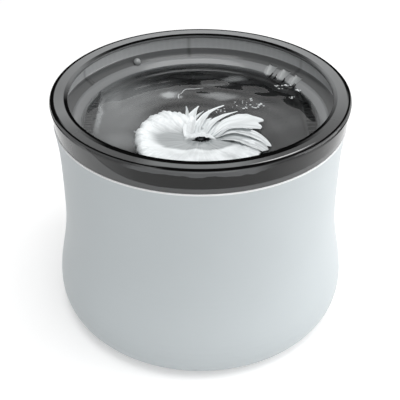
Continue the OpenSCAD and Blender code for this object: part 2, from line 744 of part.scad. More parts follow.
module pump_housing() {
    cavity_y = housing_y + 3;
    cavity_len = pump_len - 3 - housing_t;
    color(pump_black)
    difference() {
        union() {
            difference() {
                translate([-pump_w / 2, housing_y, pump_z])
                    linear_extrude(pump_h) rounded_plan(pump_w, pump_len, housing_round);
                translate([-pump_w / 2 + housing_t, cavity_y, pump_z + housing_t])
                    cube([pump_w - 2 * housing_t, cavity_len, pump_h - 2 * housing_t]);
            }
            along_axis(well_r + well_t, housing_y + 1, rear_bush_y + bush_len + 1.2);
            for (x = [-12, -4, 4, 12]) translate([x - 0.7, housing_y + 3, pump_top_z - eps])
                cube([1.4, pump_len - 6, 0.8]);
            translate([0, housing_back_y - eps, pump_top_z - 9]) rotate([-90, 0, 0])
                cylinder(r = 4.2, h = 3);
        }
        along_axis(well_r, housing_y - 1, rear_bush_y);
        along_axis(bush_r + run_gap, housing_y, rear_bush_y + bush_len);
        difference() {
            along_axis(seal_r + seal_t / 2 + run_gap, housing_y - 1, housing_y + seal_t);
            along_axis(seal_r - seal_t / 2 - run_gap, housing_y - 2, housing_y + seal_t + 1);
        }
    }
}

module stator_core() {
    low = core_z - axis_z;
    window_h_core = 6;
    color([0.42, 0.43, 0.45])
    translate([0, core_y + core_len, axis_z]) rotate([90, 0, 0]) linear_extrude(core_len)
        difference() {
            translate([-core_w / 2, low]) square([core_w, pole_gap - low]);
            circle(r = well_r + well_t + 0.2);
            translate([-pole_gap / 2, 0]) square([pole_gap, pole_gap + 2]);
            translate([-coil_w / 2 - 1, low + core_yoke_h]) square([coil_w + 2, window_h_core]);
        }
}

module stator_coil() {
    color([0.62, 0.36, 0.2])
    translate([-coil_w / 2, 0, 0]) difference() {
        translate([0, core_y - coil_wall, core_z - 1.2])
            cube([coil_w, core_len + 2 * coil_wall, core_yoke_h + 2.3]);
        translate([-1, core_y - 0.1, core_z - run_gap])
            cube([coil_w + 2, core_len + 0.2, core_yoke_h + 2 * run_gap]);
        translate([coil_w / 2, 0, 0]) along_axis(well_r + well_t + 0.2, housing_y, housing_back_y);
    }
}

module rotor_magnet() {
    color([0.3, 0.3, 0.33])
    difference() {
        along_axis(magnet_r, magnet_y, magnet_y + magnet_len);
        along_axis(shaft_r + run_gap, magnet_y - 1, magnet_y + magnet_len + 1);
    }
}

// One swept-back blade: the crescent between two circles
module blade_outline() {
    sweep_r = impeller_r * 0.62;
    intersection() {
        difference() {
            translate([sweep_r, 0]) circle(r = sweep_r);
            translate([sweep_r, 0]) circle(r = sweep_r - blade_t);
            circle(r = hub_r - 1);
        }
        circle(r = impeller_r - 0.2);
        translate([0, 1]) square([impeller_r, impeller_r]);
    }
}

module impeller() {
    color([0.8, 0.82, 0.8])
    difference() {
        union() {
            along_axis(hub_r, impeller_y, magnet_y);
            along_axis(impeller_r, impeller_y + blade_len, impeller_y + blade_len + web_t);
            translate([0, impeller_y + blade_len + web_t / 2, axis_z]) rotate([90, 0, 0])
                linear_extrude(blade_len + web_t / 2)
                    for (i = [0:blades - 1]) rotate(i * 360 / blades) blade_outline();
        }
        along_axis(shaft_r + run_gap, impeller_y - 1, magnet_y + 1);
    }
}

module rotor_shaft() {
    color("white") along_axis(shaft_r, front_bush_y + 0.6, rear_bush_y + bush_len - 0.4);
}

module shaft_bushes() {
    color("black") {
        difference() {
            along_axis(bush_r, front_bush_y, front_bush_y + bush_len);
            along_axis(shaft_r + run_gap, front_bush_y + 0.6, front_bush_y + bush_len + 1);
        }
        difference() {
            along_axis(bush_r, rear_bush_y, rear_bush_y + bush_len);
            along_axis(shaft_r + run_gap, rear_bush_y - 1, rear_bush_y + bush_len - 0.4);
        }
    }
}

module volute() {
    front = out_y - volute_half;
    color(pump_black)
    difference() {
        union() {
            along_axis(volute_r, front, housing_y);
            translate([-pump_w / 2 + 1, housing_y - 2, axis_z - volute_r])
                cube([pump_w - 2, 2, 2 * volute_r]);
            translate([0, out_y, axis_z]) cylinder(r = tower_r, h = riser_z - axis_z);
            translate([0, out_y, axis_z]) cylinder(r = spigot_out_r, h = spigot_top_z - axis_z);
        }
        along_axis(chamber_r, front + spider_t, housing_y + 1);
        difference() {
            along_axis(inlet_r, front - 1, front + spider_t + 1);
            along_axis(bush_r + 1.2, front - 2, front + spider_t + 2);
            for (a = [90, 210, 330]) translate([0, front - 2, axis_z]) rotate([0, a, 0])
                translate([0, 0, -0.7]) cube([inlet_r + 1, spider_t + 4, 1.4]);
        }
        along_axis(bush_r + run_gap, front + 0.2, front + spider_t + 1);
        translate([0, out_y, axis_z]) cylinder(r = spigot_bore_r, h = spigot_top_z - axis_z + 1);
    }
}

module volute_seal() {
    color("black")
    translate([0, housing_y + seal_t / 2, axis_z]) rotate([90, 0, 0])
        rotate_extrude($fn = 64) translate([seal_r, 0]) circle(d = seal_t, $fn = 24);
}

module intake_cover() {
    slot_pitch = (cover_w - 7) / cover_slots;
    arm_len = 2 * volute_half - 2.4;
    color(pump_black)
    difference() {
        union() {
            translate([-cover_w / 2, cover_y, cover_z]) rotate([90, 0, 0])
                linear_extrude(cover_depth) rounded_plan(cover_w, cover_h, 3);
            for (side = [-1, 1])
                translate([side * (volute_r + side_gap + arm_t / 2) - arm_t / 2, cover_front_y + 3, axis_z - 5])
                    cube([arm_t, cover_depth - 3 + arm_len, 10]);
            for (z = [slider_z - slider_h / 2 - 1.3, slider_z + slider_h / 2 + 0.3])
                translate([-slider_w, cover_front_y - slider_t - 0.2, z]) cube([2 * slider_w, 2, 1]);
        }
        translate([-cover_w / 2 + cover_t, cover_front_y + cover_t, cover_z + cover_t])
            cube([cover_w - 2 * cover_t, cover_depth, cover_h - 2 * cover_t]);
        for (i = [0:cover_slots - 1])
            translate([-cover_w / 2 + 3.5 + (i + 0.5) * slot_pitch - cover_slot_w / 2,
                       cover_front_y - 1, cover_z + 4])
                cube([cover_slot_w, cover_t + 2, cover_slot_h]);
        translate([-window_w / 2, cover_front_y - 1, slider_z - window_h / 2])
            cube([window_w, cover_t + 2, window_h]);
    }
}

module intake_sponge() {
    color([0.2, 0.21, 0.22])
    translate([-cover_w / 2 + cover_t + side_gap, cover_front_y + cover_t, cover_z + cover_t + side_gap])
        cube([cover_w - 2 * cover_t - 2 * side_gap, cover_depth - cover_t - 1.6,
              cover_h - 2 * cover_t - 2 * side_gap]);
}

module flow_slider() {
    color([0.55, 0.57, 0.58])
    translate([0, cover_front_y - slider_t - 0.1, slider_z]) {
        translate([-slider_w / 2, 0, -slider_h / 2]) cube([slider_w, slider_t, slider_h]);
        for (x = [-2, 0, 2]) translate([x - 0.4, -1, -slider_h / 2 + 1]) cube([0.8, 1.4, slider_h - 2]);
    }
}

module suction_cups() {
    color(rubber_grey)
    for (x = [-cup_x, cup_x]) for (y = [housing_y + cup_in_y, housing_back_y - cup_in_y])
        translate([x, y, tank_floor_z]) rotate_extrude($fn = 40) polygon([
            [0, cup_h * 0.3], [cup_r * 0.6, cup_h * 0.2], [cup_r - 0.4, 0], [cup_r, 0],
            [cup_r, cup_h * 0.12], [cup_r * 0.64, cup_h * 0.45], [cup_neck_r, cup_h * 0.55],
            [cup_neck_r, cup_h], [0, cup_h]]);
}

outer_shell();
inner_tank();
base_plate();
base_screws();
rubber_feet();
lead_grommet();
top_ring();
drinking_dish();
water_nozzle();
nozzle_o_ring();
riser_tube();
filter_cage();
filter_core();
filter_media();
filter_lid();
pump_housing();
stator_core();
stator_coil();
rotor_magnet();
impeller();
rotor_shaft();
shaft_bushes();
volute();
volute_seal();
intake_cover();
intake_sponge();
flow_slider();
suction_cups();
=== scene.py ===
# %% [markdown]
# # A round pet water fountain
# This lesson dresses the solids of a pet water fountain: a waisted white casing, a stepped dark
# dish full of water, a see-through splash ring, and the water that wells up in the dish. The
# solids come from the frame, so every size here is read from them.

# %% Load the frame
import math
import random

import bpy
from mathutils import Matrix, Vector, noise


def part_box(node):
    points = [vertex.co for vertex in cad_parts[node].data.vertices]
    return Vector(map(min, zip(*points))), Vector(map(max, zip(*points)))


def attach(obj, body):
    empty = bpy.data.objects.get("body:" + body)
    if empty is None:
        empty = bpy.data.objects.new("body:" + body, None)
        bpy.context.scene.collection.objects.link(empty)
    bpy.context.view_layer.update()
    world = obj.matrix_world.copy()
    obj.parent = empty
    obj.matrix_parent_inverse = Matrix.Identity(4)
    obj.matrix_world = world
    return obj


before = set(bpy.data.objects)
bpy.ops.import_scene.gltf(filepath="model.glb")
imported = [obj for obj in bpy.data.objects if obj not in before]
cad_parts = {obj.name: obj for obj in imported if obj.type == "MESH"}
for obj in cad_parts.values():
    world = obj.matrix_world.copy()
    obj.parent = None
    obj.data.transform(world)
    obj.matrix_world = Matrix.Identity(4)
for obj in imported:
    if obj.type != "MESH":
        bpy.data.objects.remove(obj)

bpy.context.scene.view_settings.view_transform = "Standard"
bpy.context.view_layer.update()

# %% [markdown]
# The sizes that the water needs are read from the dish and the nozzle. The water stands where
# the dish's sloping shoulder ends, and the nozzle stands a little in front of the middle.

# %% Sizes that the water follows
WATER_DROP, WATER_R = 0.0206, 0.0803   # below the rim, and its radius
DRAIN_LIP_X = 0.0716   # where the side drains begin
rim_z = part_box("top_ring")[1].z
water_z = rim_z - WATER_DROP
nozzle_low, nozzle_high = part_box("water_nozzle")
nozzle_y = (nozzle_low.y + nozzle_high.y) / 2
print("water at", round(water_z, 4), "nozzle at y", round(nozzle_y, 4))

# %% [markdown]
# ## Camera
# The camera stands in front of the fountain and looks down into the dish. Its place was worked
# out from the ellipses that the rim and the seam make in the picture, so the same lens and the
# same height give the same picture.

# %% Camera
CAMERA_PLACE = (0, -0.480, 0.4169)
CAMERA_PITCH = 0.6185
CAMERA_LENS, CAMERA_SHIFT = 72.45, -0.00125
camera_data = bpy.data.cameras.new("camera")
camera_data.lens = CAMERA_LENS
camera_data.sensor_width = 36
camera_data.shift_x = CAMERA_SHIFT
camera = bpy.data.objects.new("camera", camera_data)
bpy.context.scene.collection.objects.link(camera)
camera.location = CAMERA_PLACE
camera.rotation_euler = (math.pi / 2 - CAMERA_PITCH, 0, 0)
bpy.context.scene.camera = camera
print("lens", camera_data.lens, "mm")

# %% [markdown]
# ## Shader nodes
# Every finish here is a small tree of nodes. A few helpers keep the trees short to write: one
# adds a node and fills its inputs by name, whether with a plain value or with another node's
# output, and the others reckon with numbers and places.

# %% Helpers for shader nodes
def feed(tree, socket, value):
    """Links value to an input if it is another node's output, and sets it otherwise."""
    if hasattr(value, "links"):
        tree.links.new(value, socket)
    else:
        socket.default_value = value


def new_node(tree, kind, **values):
    """A shader node; each value goes to the input of that name, or else to the property."""
    node = tree.nodes.new(kind)
    for name, value in values.items():
        socket = node.inputs.get(name.replace("_", " "))
        if socket is None:
            setattr(node, name, value)
        else:
            feed(tree, socket, value)
    return node


def reckon(tree, operation, *numbers):
    """A Math node over outputs or plain numbers."""
    node = new_node(tree, "ShaderNodeMath", operation=operation)
    for socket, value in zip(node.inputs, numbers):
        feed(tree, socket, value)
    return node.outputs[0]


def reckon_places(tree, operation, *places):
    """A Vector Math node over outputs or plain places."""
    node = new_node(tree, "ShaderNodeVectorMath", operation=operation)
    for socket, value in zip(node.inputs, places):
        feed(tree, socket, value)
    return node.outputs["Value" if operation in ("LENGTH", "DISTANCE") else "Vector"]


def object_place(tree):
    """The Object coordinates, which stay with a piece when it moves."""
    return new_node(tree, "ShaderNodeTexCoord").outputs["Object"]


def mix_shaders(tree, share, first, second):
    """Mixes the outputs of two shaders."""
    node = new_node(tree, "ShaderNodeMixShader")
    for socket, value in zip(node.inputs, (share, first, second)):
        feed(tree, socket, value)
    return node.outputs[0]


def seen_directly(tree):
    """1 for what the camera, a mirror or glass sees, and 0 for light that falls on things."""
    path = new_node(tree, "ShaderNodeLightPath")
    seen = path.outputs["Is Camera Ray"]
    for ray in ("Is Transmission Ray", "Is Glossy Ray"):
        seen = reckon(tree, "MAXIMUM", seen, path.outputs[ray])
    return seen


print("node helpers ready")

# %% [markdown]
# ## Light
# The object stands in an even white room. The casing is brighter on its right, so a large soft
# lamp stands there, another hangs overhead, and a weak one fills the front. The white behind the
# object is only what the camera, mirrors and glass see: it adds no light.

# %% World
AMBIENT, SEEN_WHITE = 0.33, 1.0
world = bpy.data.worlds.new("room")
bpy.context.scene.world = world
world.use_nodes = True
room = world.node_tree
room.nodes.clear()
dim, bright = (new_node(room, "ShaderNodeBackground", Color=(1, 1, 1, 1), Strength=strength).outputs[0]
               for strength in (AMBIENT, SEEN_WHITE))
new_node(room, "ShaderNodeOutputWorld", Surface=mix_shaders(room, seen_directly(room), dim, bright))
print("room light", AMBIENT)


# %% Lamps
def soft_lamp(name, place, target, size, power):
    """A square area lamp that looks at target."""
    data = bpy.data.lights.new(name, "AREA")
    data.shape = "SQUARE"
    data.size = size
    data.energy = power
    lamp = bpy.data.objects.new(name, data)
    bpy.context.scene.collection.objects.link(lamp)
    lamp.location = place
    lamp.rotation_euler = (Vector(target) - Vector(place)).to_track_quat("-Z", "Y").to_euler()


soft_lamp("lamp_right", (0.9, 0.05, 0.45), (0, 0, 0.08), 0.7, 4.4)
soft_lamp("lamp_above", (0.1, -0.1, 1.3), (0, 0, 0.1), 0.9, 11)
soft_lamp("lamp_front", (0.15, -1.15, 0.7), (0, 0, 0.08), 0.8, 3)

# %% [markdown]
# ## Floor
# The floor is a wide pale sheet that the camera sees as white. A shadow only shows where the
# floor is lit by lamps, so most of its white is its own and a smaller part is lit: that keeps
# the soft grey shadow close to the casing, as on a sweep of white paper. Farther off, where the
# lamps hardly reach, more of the white is its own.

# %% Floor
FLOOR_R, FLOOR_Z = 6, -0.0002
NEAR_R, NEAR_GLOW = 0.5, 0.34
FAR_R, FAR_GLOW = 1.8, 0.78
bpy.ops.object.select_all(action="DESELECT")
bpy.ops.mesh.primitive_circle_add(vertices=64, radius=FLOOR_R, fill_type="NGON", location=(0, 0, FLOOR_Z))
floor = bpy.context.object
floor.name = "floor"
floor_paint = bpy.data.materials.new("floor_white")
floor_paint.use_nodes = True
sheet = floor_paint.node_tree
sheet.nodes.clear()
rise = new_node(sheet, "ShaderNodeMapRange", Value=reckon_places(sheet, "LENGTH", object_place(sheet)),
                From_Min=NEAR_R, From_Max=FAR_R, To_Min=NEAR_GLOW, To_Max=FAR_GLOW)
glow = new_node(sheet, "ShaderNodeEmission", Strength=rise.outputs["Result"])
unlit = new_node(sheet, "ShaderNodeEmission", Strength=0.0)
matt = new_node(sheet, "ShaderNodeBsdfDiffuse", Color=(0.8, 0.8, 0.8, 1))
both = new_node(sheet, "ShaderNodeAddShader")
feed(sheet, both.inputs[0], mix_shaders(sheet, seen_directly(sheet), unlit.outputs[0], glow.outputs[0]))
feed(sheet, both.inputs[1], matt.outputs[0])
new_node(sheet, "ShaderNodeOutputMaterial", Surface=both.outputs[0])
floor.data.materials.append(floor_paint)
print("floor at", floor.location.z)

# %% [markdown]
# ## Finishes
# Moulded plastic is never one flat colour: its pigment clouds a little, its gloss changes where
# it has been handled, and its skin has a fine grain. One helper builds all of these from noise
# that reads Object coordinates, so nothing slides when a piece moves.

# %% A helper for moulded plastic and rubber
CLOUDS_PER_M, GRAIN_DEPTH, WEAR = 22.0, 0.0002, 0.15


def dress(material, **sockets):
    """Sets or feeds inputs of the material's Principled shader, by name."""
    shader = material.node_tree.nodes["Principled BSDF"]
    for name, value in sockets.items():
        feed(material.node_tree, shader.inputs[name.replace("_", " ")], value)


def finish(name, colour, roughness, grain=1500, bump=0.02, tint=0.03, **sockets):
    """A Principled material whose colour, roughness and surface vary a little over the piece."""
    material = bpy.data.materials.new(name)
    material.use_nodes = True
    tree = material.node_tree
    where = object_place(tree)
    cloud = new_node(tree, "ShaderNodeTexNoise", Vector=where, Scale=CLOUDS_PER_M, Detail=3.0)
    fine = new_node(tree, "ShaderNodeTexNoise", Vector=where, Scale=float(grain), Detail=2.0)
    ramp = new_node(tree, "ShaderNodeValToRGB", Fac=cloud.outputs["Fac"])
    for stop, factor, place in zip(ramp.color_ramp.elements, (1 - tint, 1 + tint), (0.35, 0.65)):
        stop.position = place
        stop.color = (*[min(1, c * factor) for c in colour], 1)
    worn = new_node(tree, "ShaderNodeMapRange", Value=cloud.outputs["Fac"],
                    To_Min=roughness * (1 - WEAR), To_Max=roughness * (1 + WEAR))
    relief = new_node(tree, "ShaderNodeBump", Strength=bump, Distance=GRAIN_DEPTH, Height=fine.outputs["Fac"])
    dress(material, Base_Color=ramp.outputs["Color"], Roughness=worn.outputs["Result"],
          Normal=relief.outputs["Normal"], **sockets)
    return material


def paint(node, material):
    """Gives a CAD node a finish, in every one of its material slots."""
    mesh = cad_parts[node].data
    if not mesh.materials:
        mesh.materials.append(material)
    for i in range(len(mesh.materials)):
        mesh.materials[i] = material


# %% Opaque pieces
CASING = (0.615, 0.662, 0.68)
finishes = {
    "inner_tank": finish("tank_white", (0.62, 0.66, 0.68), 0.42),
    "base_plate": finish("cover_white", (0.58, 0.62, 0.63), 0.55, bump=0.08),
    "base_screws": finish("screw_steel", (0.55, 0.56, 0.57), 0.3, Metallic=1.0),
    "rubber_feet": finish("foot_rubber", (0.045, 0.047, 0.05), 0.75, bump=0.12),
    "lead_grommet": finish("gland_rubber", (0.42, 0.45, 0.46), 0.7, bump=0.1),
    "water_nozzle": finish("nozzle_black", (0.02, 0.022, 0.024), 0.3),
    "nozzle_o_ring": finish("seal_rubber", (0.012, 0.012, 0.013), 0.6, bump=0.08),
    "filter_cage": finish("cage_white", (0.7, 0.73, 0.73), 0.4),
    "filter_core": finish("core_white", (0.66, 0.69, 0.69), 0.45),
    "filter_lid": finish("lid_white", (0.72, 0.75, 0.75), 0.38),
    "pump_housing": finish("pump_black", (0.014, 0.015, 0.017), 0.5, bump=0.15),
    "volute": finish("volute_black", (0.017, 0.018, 0.02), 0.4),
    "volute_seal": finish("seal_ring_rubber", (0.012, 0.012, 0.013), 0.6, bump=0.08),
    "intake_cover": finish("intake_black", (0.018, 0.02, 0.022), 0.45, bump=0.08),
    "flow_slider": finish("slider_grey", (0.2, 0.22, 0.23), 0.4),
    "suction_cups": finish("cup_rubber", (0.05, 0.053, 0.056), 0.45, bump=0.05),
    "shaft_bushes": finish("bush_rubber", (0.015, 0.015, 0.017), 0.65, bump=0.08),
    "impeller": finish("impeller_white", (0.66, 0.7, 0.67), 0.35),
    "rotor_magnet": finish("magnet_ferrite", (0.05, 0.05, 0.055), 0.5, grain=3000, bump=0.2),
    "rotor_shaft": finish("shaft_ceramic", (0.85, 0.85, 0.82), 0.12, bump=0.005),
}
for node, material in finishes.items():
    paint(node, material)
print(len(finishes), "opaque finishes")

# %% [markdown]
# Some finishes follow a position: a colour that depends on the distance from the middle, on the
# height, or on the side of the fountain. Each is a colour ramp over one number, so the next
# helpers make that number from the Object coordinates and feed it to a ramp.

# %% Ramps over a position
def position(tree, kind):
    """A number for each point of a piece: its radius, its height, or its turn round the axis."""
    where = object_place(tree)
    if kind == "radius":
        return reckon_places(tree, "LENGTH", reckon_places(tree, "MULTIPLY", where, (1, 1, 0)))
    split = new_node(tree, "ShaderNodeSeparateXYZ", Vector=where)
    if kind == "height":
        return split.outputs["Z"]
    return reckon(tree, "ARCTAN2", split.outputs["Y"], split.outputs["X"])


def ramp_over(tree, number, stops):
    """A ramp over a number; stops are (value, grey or colour), in rising order."""
    low, high = stops[0][0], stops[-1][0]
    share = new_node(tree, "ShaderNodeMapRange", Value=number, From_Min=low, From_Max=high)
    ramp = new_node(tree, "ShaderNodeValToRGB", Fac=share.outputs["Result"])
    elements = ramp.color_ramp.elements
    for i, (value, tone) in enumerate(stops):
        place = (value - low) / (high - low)
        stop = elements.new(place) if 0 < i < len(stops) - 1 else elements[0 if i == 0 else -1]
        stop.position = place
        stop.color = (*tone, 1) if isinstance(tone, tuple) else (tone, tone * 1.03, tone * 1.045, 1)
    return ramp.outputs["Color"]


def share_over(tree, number, stops):
    """A share over a number, for mixing; stops are (value, share), in rising order."""
    return ramp_over(tree, number, [(value, (share, share, share)) for value, share in stops])


def degrees(stops):
    """Stops given in degrees from +X, counter-clockwise, as stops in radians."""
    return [(math.radians(turn_at), tone) for turn_at, tone in stops]


def mix_colour(tree, mode, share, first, second):
    """Mixes two colours; share, first and second are outputs or plain values."""
    mix = new_node(tree, "ShaderNodeMix", data_type="RGBA", blend_type=mode)
    for i, value in ((0, share), (6, first), (7, second)):
        feed(tree, mix.inputs[i], value)
    return mix.outputs[2]


def fading(tree, number, begin, end, strength=1.0):
    """Strength below begin, nothing above end, and a soft step between."""
    return new_node(tree, "ShaderNodeMapRange", interpolation_type="SMOOTHSTEP", Value=number, From_Min=begin,
                    From_Max=end, To_Min=strength, To_Max=0.0).outputs["Result"]


# %% [markdown]
# The casing is one moulded shell of cool white plastic with a satin skin. Its top edge catches
# the light and shows as a bright line under the splash ring. A second piece for that line would
# have to follow the shell exactly, so the line is painted by height on the shell itself.

# %% Casing with its bright top edge
seam_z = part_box("outer_shell")[1].z
EDGE_H, EDGE_WHITE = 0.0008, (0.95, 0.96, 0.97, 1)
casing_paint = finish("casing_white", CASING, 0.38, bump=0.015, tint=0.008, Specular_IOR_Level=0.2)
shell = casing_paint.node_tree
plain = shell.nodes["Principled BSDF"].inputs["Base Color"].links[0].from_socket
at_edge = share_over(shell, position(shell, "height"), [
    (seam_z - 1.3 * EDGE_H, 0), (seam_z - EDGE_H, 1), (seam_z, 1)])
dress(casing_paint, Base_Color=mix_colour(shell, "MIX", at_edge, plain, EDGE_WHITE))
paint("outer_shell", casing_paint)
print("casing edge at", round(seam_z, 4))

# %% [markdown]
# ## See-through plastic
# The splash ring is smoke-grey clear plastic. What stands behind its wall shows through, darker
# by one wall. At its edges the light runs along the plastic and not through it, so lines there
# are nearly black; these dark lines are painted shade and dark reflection, and one thin pale line
# on the right front is a painted highlight. They are painted by their distance from circles
# round the axis, and each is strong only on some sides.

# %% Lines of the splash ring
ring_low, ring_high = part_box("top_ring")
RIM_R = (ring_high.x - ring_low.x) / 2
BLACK, HIGHLIGHT = 0.003, 0.8
EDGE_LINES = [  # radius, height, solid and faded half width, tone, (degrees, strength) round the axis
    (RIM_R - 0.0017, rim_z, 0.0004, 0.0009, BLACK, ((-180, 1), (180, 1))),
    (RIM_R - 0.0018, rim_z, 0.0010, 0.0016, BLACK, (
        (-180, 1), (-156, 1), (-147, 0), (-110, 0), (-102, 1), (-68, 1), (-56, 0), (-12, 0),
        (0, 1), (180, 1))),
    (RIM_R - 0.0001, rim_z - 0.0021, 0.0005, 0.0011, BLACK, (
        (-180, 1), (-152, 1), (-136, 0.25), (-115, 0), (-65, 0), (-46, 0.25), (-30, 1), (180, 1))),
    (RIM_R - 0.0108, rim_z - 0.0002, 0.0010, 0.0016, BLACK, (
        (-180, 0.5), (-170, 1), (-32, 1), (-14, 0.5), (2, 0.15), (18, 0.15), (34, 0.8), (44, 1),
        (136, 1), (146, 0.8), (160, 0.15), (172, 0.15), (180, 0.5))),
    (RIM_R - 0.0099, rim_z, 0.0021, 0.0027, BLACK, (
        (-180, 0), (-146, 0), (-128, 1), (-52, 1), (-34, 0), (180, 0))),
    (RIM_R - 0.0034, rim_z, 0.0001, 0.0006, HIGHLIGHT, (
        (-180, 0), (-74, 0), (-64, 0.7), (-56, 0.7), (-44, 0), (180, 0)))]
print("ring", round(RIM_R, 4), "m in radius, with", len(EDGE_LINES), "lines")

# %% Painted light and shade of the splash ring, in degrees round the axis
# Painted light and shade, set by the turn round the axis: reflections and shade on the top and the skirt, and
# a lighter lip where the white casing behind shows through.
TOP_PAINTED_LIGHT = [(-180, 0.16), (-160, 0.21), (-145, 0.09), (-130, 0.06), (-114, 0.045), (-106, 0.16),
             (-78, 0.17), (-62, 0.045), (-42, 0.045), (-28, 0.08), (-12, 0.15), (0, 0.19), (60, 0.30),
             (120, 0.30), (180, 0.16)]
SIDE_PAINTED_LIGHT = [(-180, 0.25), (-162, 0.21), (-146, 0.10), (-128, 0.06), (-112, 0.012), (-68, 0.010),
              (-52, 0.03), (-34, 0.05), (-18, 0.12), (0, 0.19), (90, 0.14), (180, 0.25)]
LIP_PAINTED_LIGHT = [(-180, 0.27), (-160, 0.24), (-146, 0.17), (-130, 0.15), (-110, 0.155), (-90, 0.165),
             (-50, 0.14), (-20, 0.16), (0, 0.20), (90, 0.14), (180, 0.27)]
LIP_H, SWEEP_H = 0.0036, 0.0135   # the lighter lip, and how far its edge climbs on the left
SWEEP_AT = [(-180, 1), (-135, 1), (-130, 0.78), (-126, 0.5), (-121, 0.25), (-115, 0.08), (-106, 0), (180, 0)]
SWIRL_AT = [(-180, 0), (-140, 0), (-134, 0.9), (-122, 0.7), (-108, 0), (180, 0)]
PATCH_AT = [(-180, 0), (-118, 0), (-113, 1), (-72, 1), (-64, 0), (180, 0)]
PATCH_TOP, PATCH_RAG, FOAM_SHOWING_THROUGH = 0.0062, 0.0044, (0.15, 0.155, 0.16, 1)
ring_paint = finish("ring_smoke", (0.2, 0.2, 0.2), 0.05, grain=600, bump=0.004,
                    IOR=1.49, Transmission_Weight=0.35, Specular_IOR_Level=0.25)
ring = ring_paint.node_tree
height, turn, radius = (position(ring, kind) for kind in ("height", "turn", "radius"))
top_painted_light, side, lip_painted_light = (ramp_over(ring, turn, degrees(t)) for t in (TOP_PAINTED_LIGHT, SIDE_PAINTED_LIGHT, LIP_PAINTED_LIGHT))
sweep, swirl_at, patch_at = (share_over(ring, turn, degrees(t)) for t in (SWEEP_AT, SWIRL_AT, PATCH_AT))
over_lip = reckon(ring, "SUBTRACT", height, reckon(ring, "MULTIPLY_ADD", sweep, SWEEP_H, ring_low.z + LIP_H))
side = mix_colour(ring, "MIX", fading(ring, over_lip, -0.0003, 0.0003), side, lip_painted_light)
# A thin dark swirl is painted on the left of the skirt.
off_swirl = reckon(ring, "ABSOLUTE", reckon(ring, "SUBTRACT", over_lip, 0.0004))
swirl = reckon(ring, "MULTIPLY", fading(ring, off_swirl, 0.0002, 0.0011), swirl_at)
side = mix_colour(ring, "MIX", swirl, side, (0.012, 0.012, 0.013, 1))
# A paler patch on the front of the skirt is painted light: the white water behind showing through.
ragged = new_node(ring, "ShaderNodeTexNoise", Vector=object_place(ring), Scale=90.0, Detail=2.0)
patch_low = reckon(ring, "MULTIPLY_ADD", ragged.outputs["Fac"], PATCH_RAG, rim_z - PATCH_TOP)
under_patch = reckon(ring, "SUBTRACT", patch_low, height)
patch = reckon(ring, "MULTIPLY", fading(ring, under_patch, -0.0002, 0.0003), patch_at)
side = mix_colour(ring, "MIX", patch, side, FOAM_SHOWING_THROUGH)
is_top = share_over(ring, height, [(rim_z - 0.0014, 0), (rim_z - 0.0012, 0), (rim_z - 0.0009, 1), (rim_z, 1)])
dress(ring_paint, Base_Color=mix_colour(ring, "MIX", is_top, side, top_painted_light))
print("ring tones set")

# %% Splash ring and riser
profile = new_node(ring, "ShaderNodeCombineXYZ", X=radius, Z=height).outputs[0]
painted = ring.nodes["Principled BSDF"].outputs[0]
# Each line mixes in a matt shader of its tone: painted dark edges and one painted highlight.
for line_r, line_z, solid, faded, tone, strength_at in EDGE_LINES:
    off_line = reckon_places(ring, "DISTANCE", profile, (line_r, 0, line_z))
    share = reckon(ring, "MULTIPLY", fading(ring, off_line, solid, faded),
                   share_over(ring, turn, degrees(strength_at)))
    line = new_node(ring, "ShaderNodeBsdfDiffuse", Color=(tone, tone, tone, 1))
    painted = mix_shaders(ring, share, painted, line.outputs[0])
feed(ring, ring.nodes["Material Output"].inputs["Surface"], painted)
paint("top_ring", ring_paint)
paint("riser_tube", finish("riser_clear", (0.8, 0.84, 0.84), 0.12, grain=600, bump=0.01, tint=0.01,
                           IOR=1.45, Transmission_Weight=0.7))
print("see-through pieces painted")

# %% [markdown]
# The dish is the same smoke plastic, but thicker and deep in its own shade. Its tone changes
# from step to step: the wall is pale inside, the ledge is dark, the shoulder is pale again, and
# the basin under the water is nearly black. These tones are partly painted light and shade: the
# pale wall is the white room showing through the ring, the dark ledge is painted shade under the
# ring, and the pale insides of the scoops are painted reflected light. The right side is painted
# lighter than the left.

# %% Drinking dish
LEDGE_R, LEDGE_DROP, LEDGE_SLOPE = 0.0865, 0.0172, 0.644   # inner edge of the ledge, and its rise
STEP_LIGHT_AND_SHADE = [(0.0700, 0.008), (0.0785, 0.012), (0.0808, 0.17), (0.0862, 0.19), (0.0868, 0.078),
              (0.0900, 0.085), (0.0927, 0.11), (0.0930, 0.52), (0.0940, 0.52), (0.0944, 0.14), (0.0950, 0.14)]
SIDE_LIGHT = [(-180, 0.92), (0, 1.3), (40, 1.3), (90, 1.22), (135, 1.0), (180, 0.92)]
TICKS = (37.5, 96.0, 153.0)
dish_paint = finish("dish_smoke", (0.1, 0.1, 0.1), 0.14, grain=700, bump=0.006, IOR=1.49,
                    Specular_IOR_Level=0.3)
dish = dish_paint.node_tree
radius, turn, height = (position(dish, kind) for kind in ("radius", "turn", "height"))
ledge_at = reckon(dish, "MULTIPLY_ADD", radius, LEDGE_SLOPE, rim_z - LEDGE_DROP - LEDGE_SLOPE * LEDGE_R)
over_ledge = reckon(dish, "SUBTRACT", height, ledge_at)
# The insides of the scoops are painted a pale grey: painted reflected light.
scooped = share_over(dish, over_ledge, [
    (-0.0020, 1), (-0.0005, 1), (-0.0002, 0), (0.0013, 0), (0.0017, 0.9), (0.0040, 0.9)])
in_flute = share_over(dish, radius, [(0.0800, 0), (0.0815, 1), (0.0905, 1), (0.0912, 0)])
scoop_light_share = mix_colour(dish, "MULTIPLY", 1.0, scooped, in_flute)
dish_tone = mix_colour(dish, "MIX", scoop_light_share, ramp_over(dish, radius, STEP_LIGHT_AND_SHADE), (0.26, 0.27, 0.272, 1))
